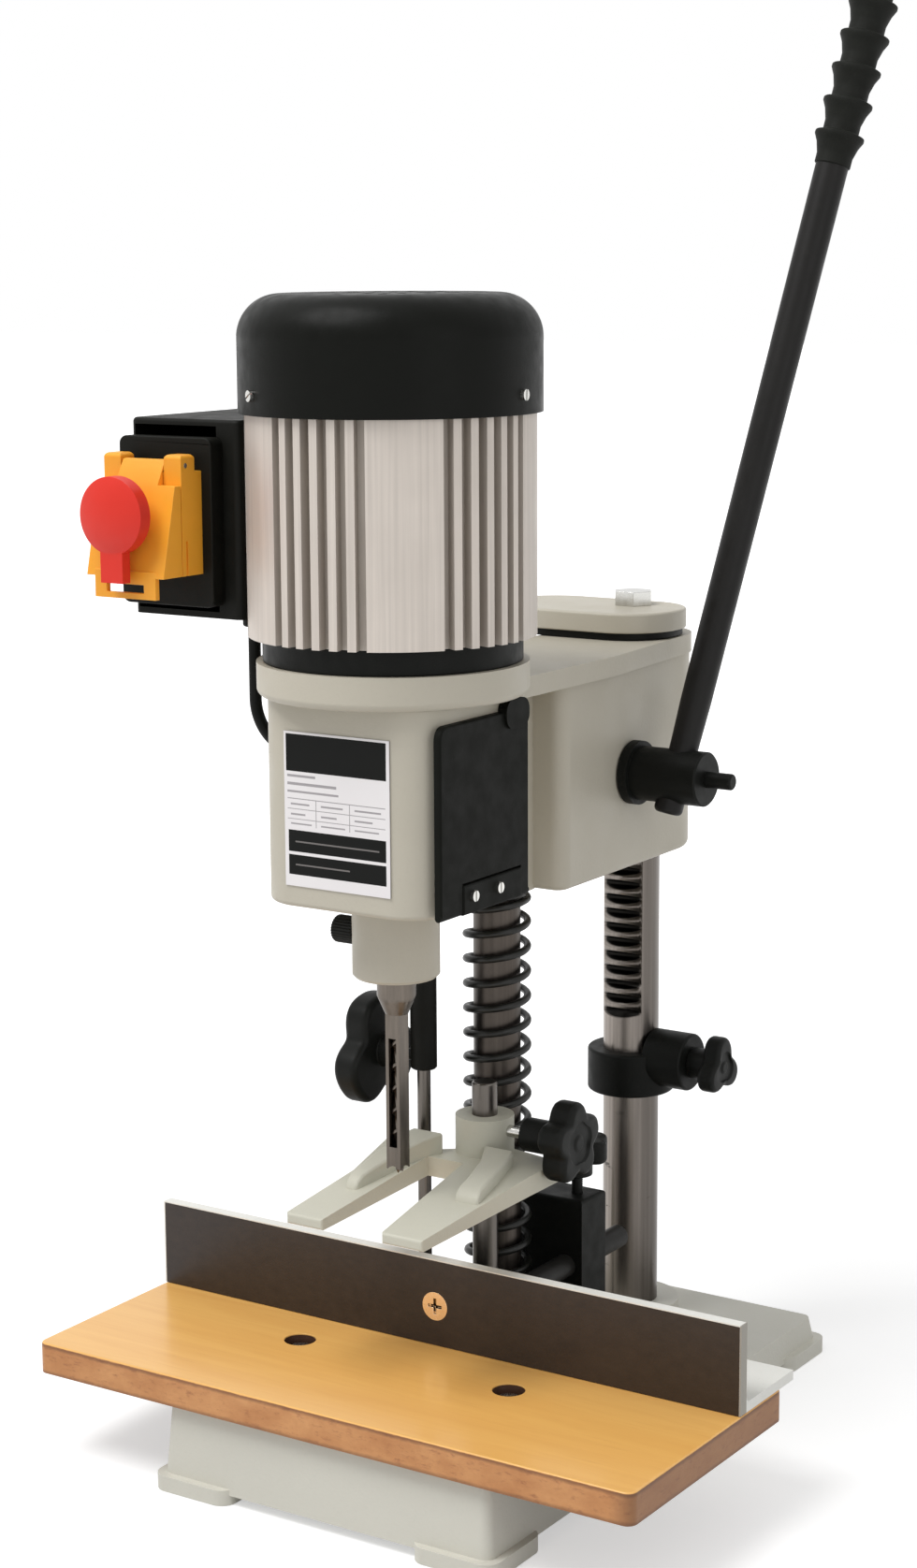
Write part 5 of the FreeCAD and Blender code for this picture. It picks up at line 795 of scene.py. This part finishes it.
def knob_rows(knob):
    """Threaded stud, round hub, lobed body and a shallow dish in the end face."""
    radius, valley = knob["radius"], knob["valley"]
    hub_radius, hub_end = knob["hub_radius"], knob["hub_length"]
    rows = thread_rows(-knob["stud"], 0.0, STUD_RADIUS) if knob["stud"] else []
    rows += [(along, hub_radius + drawn, 0) for along, drawn in HUB_START]
    rows += [(hub_end + along, hub_radius + drawn, 0) for along, drawn in HUB_END]
    rows += rounded_rows(hub_end, knob["length"], radius, knob["edge"], valley)
    end = hub_end + knob["length"]
    rows += [(end - depth, radius * share, valley * left) for depth, share, left in DISH]
    return rows


def moulded_knob(name, base, along, plane, rows, body, node, **shape):
    mesh = turned_mesh(name, base, along, plane, rows, **shape)
    obj = add_piece(name, mesh, "knob_black", body, "black_plastic", node)
    soft_edges(obj, 0)


def lobed_knobs():
    for knob in KNOBS:
        moulded_knob(knob["name"], knob["base"], knob["along"], knob["plane"], knob_rows(knob),
                     knob["body"], knob["node"],
                     lobes=knob["lobes"], phase=math.radians(knob["phase"]), breadth=knob["breadth"])


# Chisel lock screw, in millimetres: a knurled knob that starts at the base, and its threaded shank
CHISEL_SCREW_BASE = (-21.5, -99.5, 275.6)
CHISEL_SCREW_SHANK = 11.75
CHISEL_KNOB_LENGTH = 12.5
CHISEL_KNOB_RADIUS = 6.8
CHISEL_KNOB_EDGE = 1.0
KNURL_DEPTH = 0.35
KNURL_COUNT = 28
KNURL_SIDES = 12 * KNURL_COUNT


def chisel_screw():
    rows = thread_rows(-CHISEL_SCREW_SHANK, 0.0, STUD_RADIUS)
    rows += rounded_rows(0.0, CHISEL_KNOB_LENGTH, CHISEL_KNOB_RADIUS, CHISEL_KNOB_EDGE, KNURL_DEPTH)
    moulded_knob("chisel_screw_knob", CHISEL_SCREW_BASE, (-1, 0, 0), SIDE, rows,
                 "chisel_screw", "chisel_lock_screw", lobes=KNURL_COUNT, sides=KNURL_SIDES)


# Lever, in millimetres: where its axis crosses the hub's, its lean to the right and to the back,
# and the foot, which starts this far below the hub's axis
LEVER_CROSS = (57.5, 71.0, 332.0)
LEVER_TILT = math.radians(8.0)
LEVER_BACK = math.radians(14.1)
LEVER_RADIUS = 7.4
LEVER_FOOT = 19.5
LEVER_FOOT_EDGE = 2.6
LEVER_FOOT_LENGTH = 10.0
LEVER_SIDES = 72
# The bar above its foot: distance from the hub's axis, and radius
LEVER_SWELL = ((18.0, LEVER_RADIUS), (40.0, 7.9), (318.0, 8.4), (428.0, 8.4), (430.0, 6.0))


def lever_bar():
    """Bar through the hub: a short rounded foot below it, and a slow swell towards the grip."""
    along = (math.sin(LEVER_TILT), math.cos(LEVER_TILT) * math.sin(LEVER_BACK),
             math.cos(LEVER_TILT) * math.cos(LEVER_BACK))
    across = Vector(along).orthogonal().normalized()
    plane = (across, Vector(along).cross(across))
    rows = rounded_rows(-LEVER_FOOT, LEVER_FOOT_LENGTH, LEVER_RADIUS, LEVER_FOOT_EDGE)[:EDGE_STEPS + 1]
    rows += [(distance, radius, 0) for distance, radius in LEVER_SWELL]
    mesh = turned_mesh("lever_bar", LEVER_CROSS, along, plane, rows, sides=LEVER_SIDES)
    obj = add_piece("lever_bar", mesh, "lever_black", "lever", "black_paint", "lever_rod")
    soft_edges(obj, 0)


# Ribs on the fork's arms: y, left and right edge, and top, in millimetres
LEFT_RIB = ((-104.0, -28.5, -22.2, 147.6), (-102.0, -28.8, -21.8, 151.0), (-98.5, -29.0, -21.2, 153.4),
            (-92.0, -29.0, -20.2, 155.0), (-75.0, -29.0, -17.5, 158.6), (-58.0, -29.0, -13.6, 161.6),
            (-46.0, -27.0, -9.0, 163.0))
RIGHT_RIB = ((-94.5, 28.9, 41.6, 148.4), (-93.0, 28.6, 42.0, 151.6), (-89.0, 28.4, 41.2, 154.4),
             (-80.0, 27.5, 39.8, 156.2), (-60.0, 22.0, 36.0, 158.6), (-44.0, 14.0, 31.0, 160.0))
RIB_FOOT = 144.5
RIB_EDGE = 1.4


def fork_ribs():
    work = bmesh.new()
    for rib in (LEFT_RIB, RIGHT_RIB):
        rings = []
        for y, left, right, top in rib:
            corners = ((left, y, RIB_FOOT), (left, y, top), (right, y, top), (right, y, RIB_FOOT))
            rings.append([work.verts.new(Vector(corner) * MM) for corner in corners])
        join_rings(work, rings)
        cap_rings(work, rings)
    obj = add_piece("fork_ribs", finished_mesh("fork_ribs", work), "fork_paint", "fork", "fork_steel")
    soft_edges(obj, RIB_EDGE)


# Stop pad, which also stands in for the shadow under the cap plate; in metres but for its edge: how
# far inside the plate's outline it ends, its bore about the column, the height of the plate's vertices
# that make the outline, and a ray longer than the plate
PAD_INSET = 2.0 * MM
PAD_BORE = 15.3 * MM
PAD_SIDES = 120
PAD_EDGE = 0.4
OUTLINE_HEIGHT = 0.0012
LONG_RAY = 0.3


def stop_and_shadow_pad():
    """Rubber stop pad, grown out to the plate's own outline as a dark sheet that stands for the shadow
    under the cap plate: a ring about the column whose rim follows that outline.
    """
    plate_low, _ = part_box("cap_plate")
    low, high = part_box("stop_buffer")
    flat = [vertex.co.to_2d() for vertex in NODES["cap_plate"].data.vertices
            if vertex.co.z < plate_low.z + OUTLINE_HEIGHT]
    outline = [flat[index] for index in geometry.convex_hull_2d(flat)]
    middle = Vector((0, COLUMN_Y))
    work = bmesh.new()
    rings = [[], [], [], []]
    for side in range(PAD_SIDES):
        angle = math.tau * side / PAD_SIDES
        ray = Vector((math.cos(angle), math.sin(angle)))
        reach = 0.0
        for first, second in zip(outline, outline[1:] + outline[:1]):
            hit = geometry.intersect_line_line_2d(middle, middle + ray * LONG_RAY, first, second)
            if hit:
                reach = max(reach, (hit - middle).length)
        rim = middle + ray * (reach - PAD_INSET)
        bore = middle + ray * PAD_BORE
        for ring, spot, z in zip(rings, (rim, rim, bore, bore), (low.z, high.z, high.z, low.z)):
            ring.append(work.verts.new((spot.x, spot.y, z)))
    join_rings(work, rings + rings[:1])
    mesh = finished_mesh("stop_and_shadow_pad", work)
    obj = add_piece("stop_and_shadow_pad", mesh, "cable_rubber", "base", "cable_rubber", "stop_buffer")
    soft_edges(obj, PAD_EDGE)


# Stage, in metres: a pale floor that is lifted to white for the camera, less inside the near radius
# than outside the far one, so that the machine's shadow stays
FLOOR_SIZE = 30
FLOOR_DROP = 0.0002
FLOOR_SHARE = 0.76
FLOOR_ROUGHNESS = 0.9
LIFT_NEAR = 0.48
LIFT_FAR = 1.0
NEAR_RADIUS = 0.5
FAR_RADIUS = 1.3
WHITE = (1, 1, 1, 1)


def plain_stage():
    bpy.ops.mesh.primitive_plane_add(size=FLOOR_SIZE, location=(0, 0, -FLOOR_DROP))
    floor = bpy.context.object
    floor.name = "floor"
    material = bpy.data.materials.new("floor_finish")
    material.use_nodes = True
    tree = material.node_tree
    shader = next(n for n in tree.nodes if n.type == "BSDF_PRINCIPLED")
    shader.inputs["Base Color"].default_value = (FLOOR_SHARE, FLOOR_SHARE, FLOOR_SHARE, 1)
    shader.inputs["Roughness"].default_value = FLOOR_ROUGHNESS
    shader.inputs["Specular IOR Level"].default_value = 0.0
    seen = seen_directly(tree)
    lift = tree.nodes.new("ShaderNodeMath")
    lift.operation = "MULTIPLY"
    tree.links.new(seen, lift.inputs[0])
    place = tree.nodes.new("ShaderNodeTexCoord")
    far = tree.nodes.new("ShaderNodeVectorMath")
    far.operation = "LENGTH"
    tree.links.new(place.outputs["Object"], far.inputs[0])
    rise = tree.nodes.new("ShaderNodeMapRange")
    rise.interpolation_type = "SMOOTHSTEP"
    tree.links.new(far.outputs["Value"], rise.inputs["Value"])
    numbers = (("From Min", NEAR_RADIUS), ("From Max", FAR_RADIUS),
               ("To Min", LIFT_NEAR), ("To Max", LIFT_FAR))
    for socket, number in numbers:
        rise.inputs[socket].default_value = number
    tree.links.new(rise.outputs["Result"], lift.inputs[1])
    shader.inputs["Emission Color"].default_value = WHITE
    tree.links.new(lift.outputs[0], shader.inputs["Emission Strength"])
    floor.data.materials.append(material)


def seen_directly(tree):
    """1 for camera, glossy and transmission rays, else 0."""
    path = tree.nodes.new("ShaderNodeLightPath")
    total = path.outputs["Is Camera Ray"]
    for name in ("Is Glossy Ray", "Is Transmission Ray"):
        node = tree.nodes.new("ShaderNodeMath")
        node.operation = "MAXIMUM"
        tree.links.new(total, node.inputs[0])
        tree.links.new(path.outputs[name], node.inputs[1])
        total = node.outputs[0]
    return total


# Light: how bright the white world is to diffuse rays, and two soft lamps with place, aim, size in
# metres and power in watts
WORLD_LIGHT = 0.50
KEY_LAMP = ("key", (-0.45, -1.0, 2.1), (0, -0.05, 0.30), 1.1, 32.0)
FILL_LAMP = ("fill", (1.5, -0.6, 0.9), (0, 0, 0.30), 0.9, 2.5)


def plain_light():
    world = bpy.data.worlds.new("studio")
    bpy.context.scene.world = world
    world.use_nodes = True
    tree = world.node_tree
    background = next(n for n in tree.nodes if n.type == "BACKGROUND")
    background.inputs["Color"].default_value = WHITE
    strength = tree.nodes.new("ShaderNodeMapRange")
    tree.links.new(seen_directly(tree), strength.inputs["Value"])
    strength.inputs["To Min"].default_value = WORLD_LIGHT
    strength.inputs["To Max"].default_value = 1.0
    tree.links.new(strength.outputs["Result"], background.inputs["Strength"])
    soft_lamp(*KEY_LAMP)
    soft_lamp(*FILL_LAMP)


def soft_lamp(name, place, target, size, power):
    data = bpy.data.lights.new(name, "AREA")
    data.shape = "SQUARE"
    data.size = size
    data.energy = power
    lamp = bpy.data.objects.new(name, data)
    bpy.context.scene.collection.objects.link(lamp)
    lamp.location = place
    lamp.rotation_euler = (Vector(target) - Vector(place)).to_track_quat("-Z", "Y").to_euler()


place_camera()
dress_nodes()
return_spring()
lobed_knobs()
chisel_screw()
lever_bar()
fork_ribs()
stop_and_shadow_pad()
plain_stage()
plain_light()
bpy.context.scene.view_settings.view_transform = "Standard"
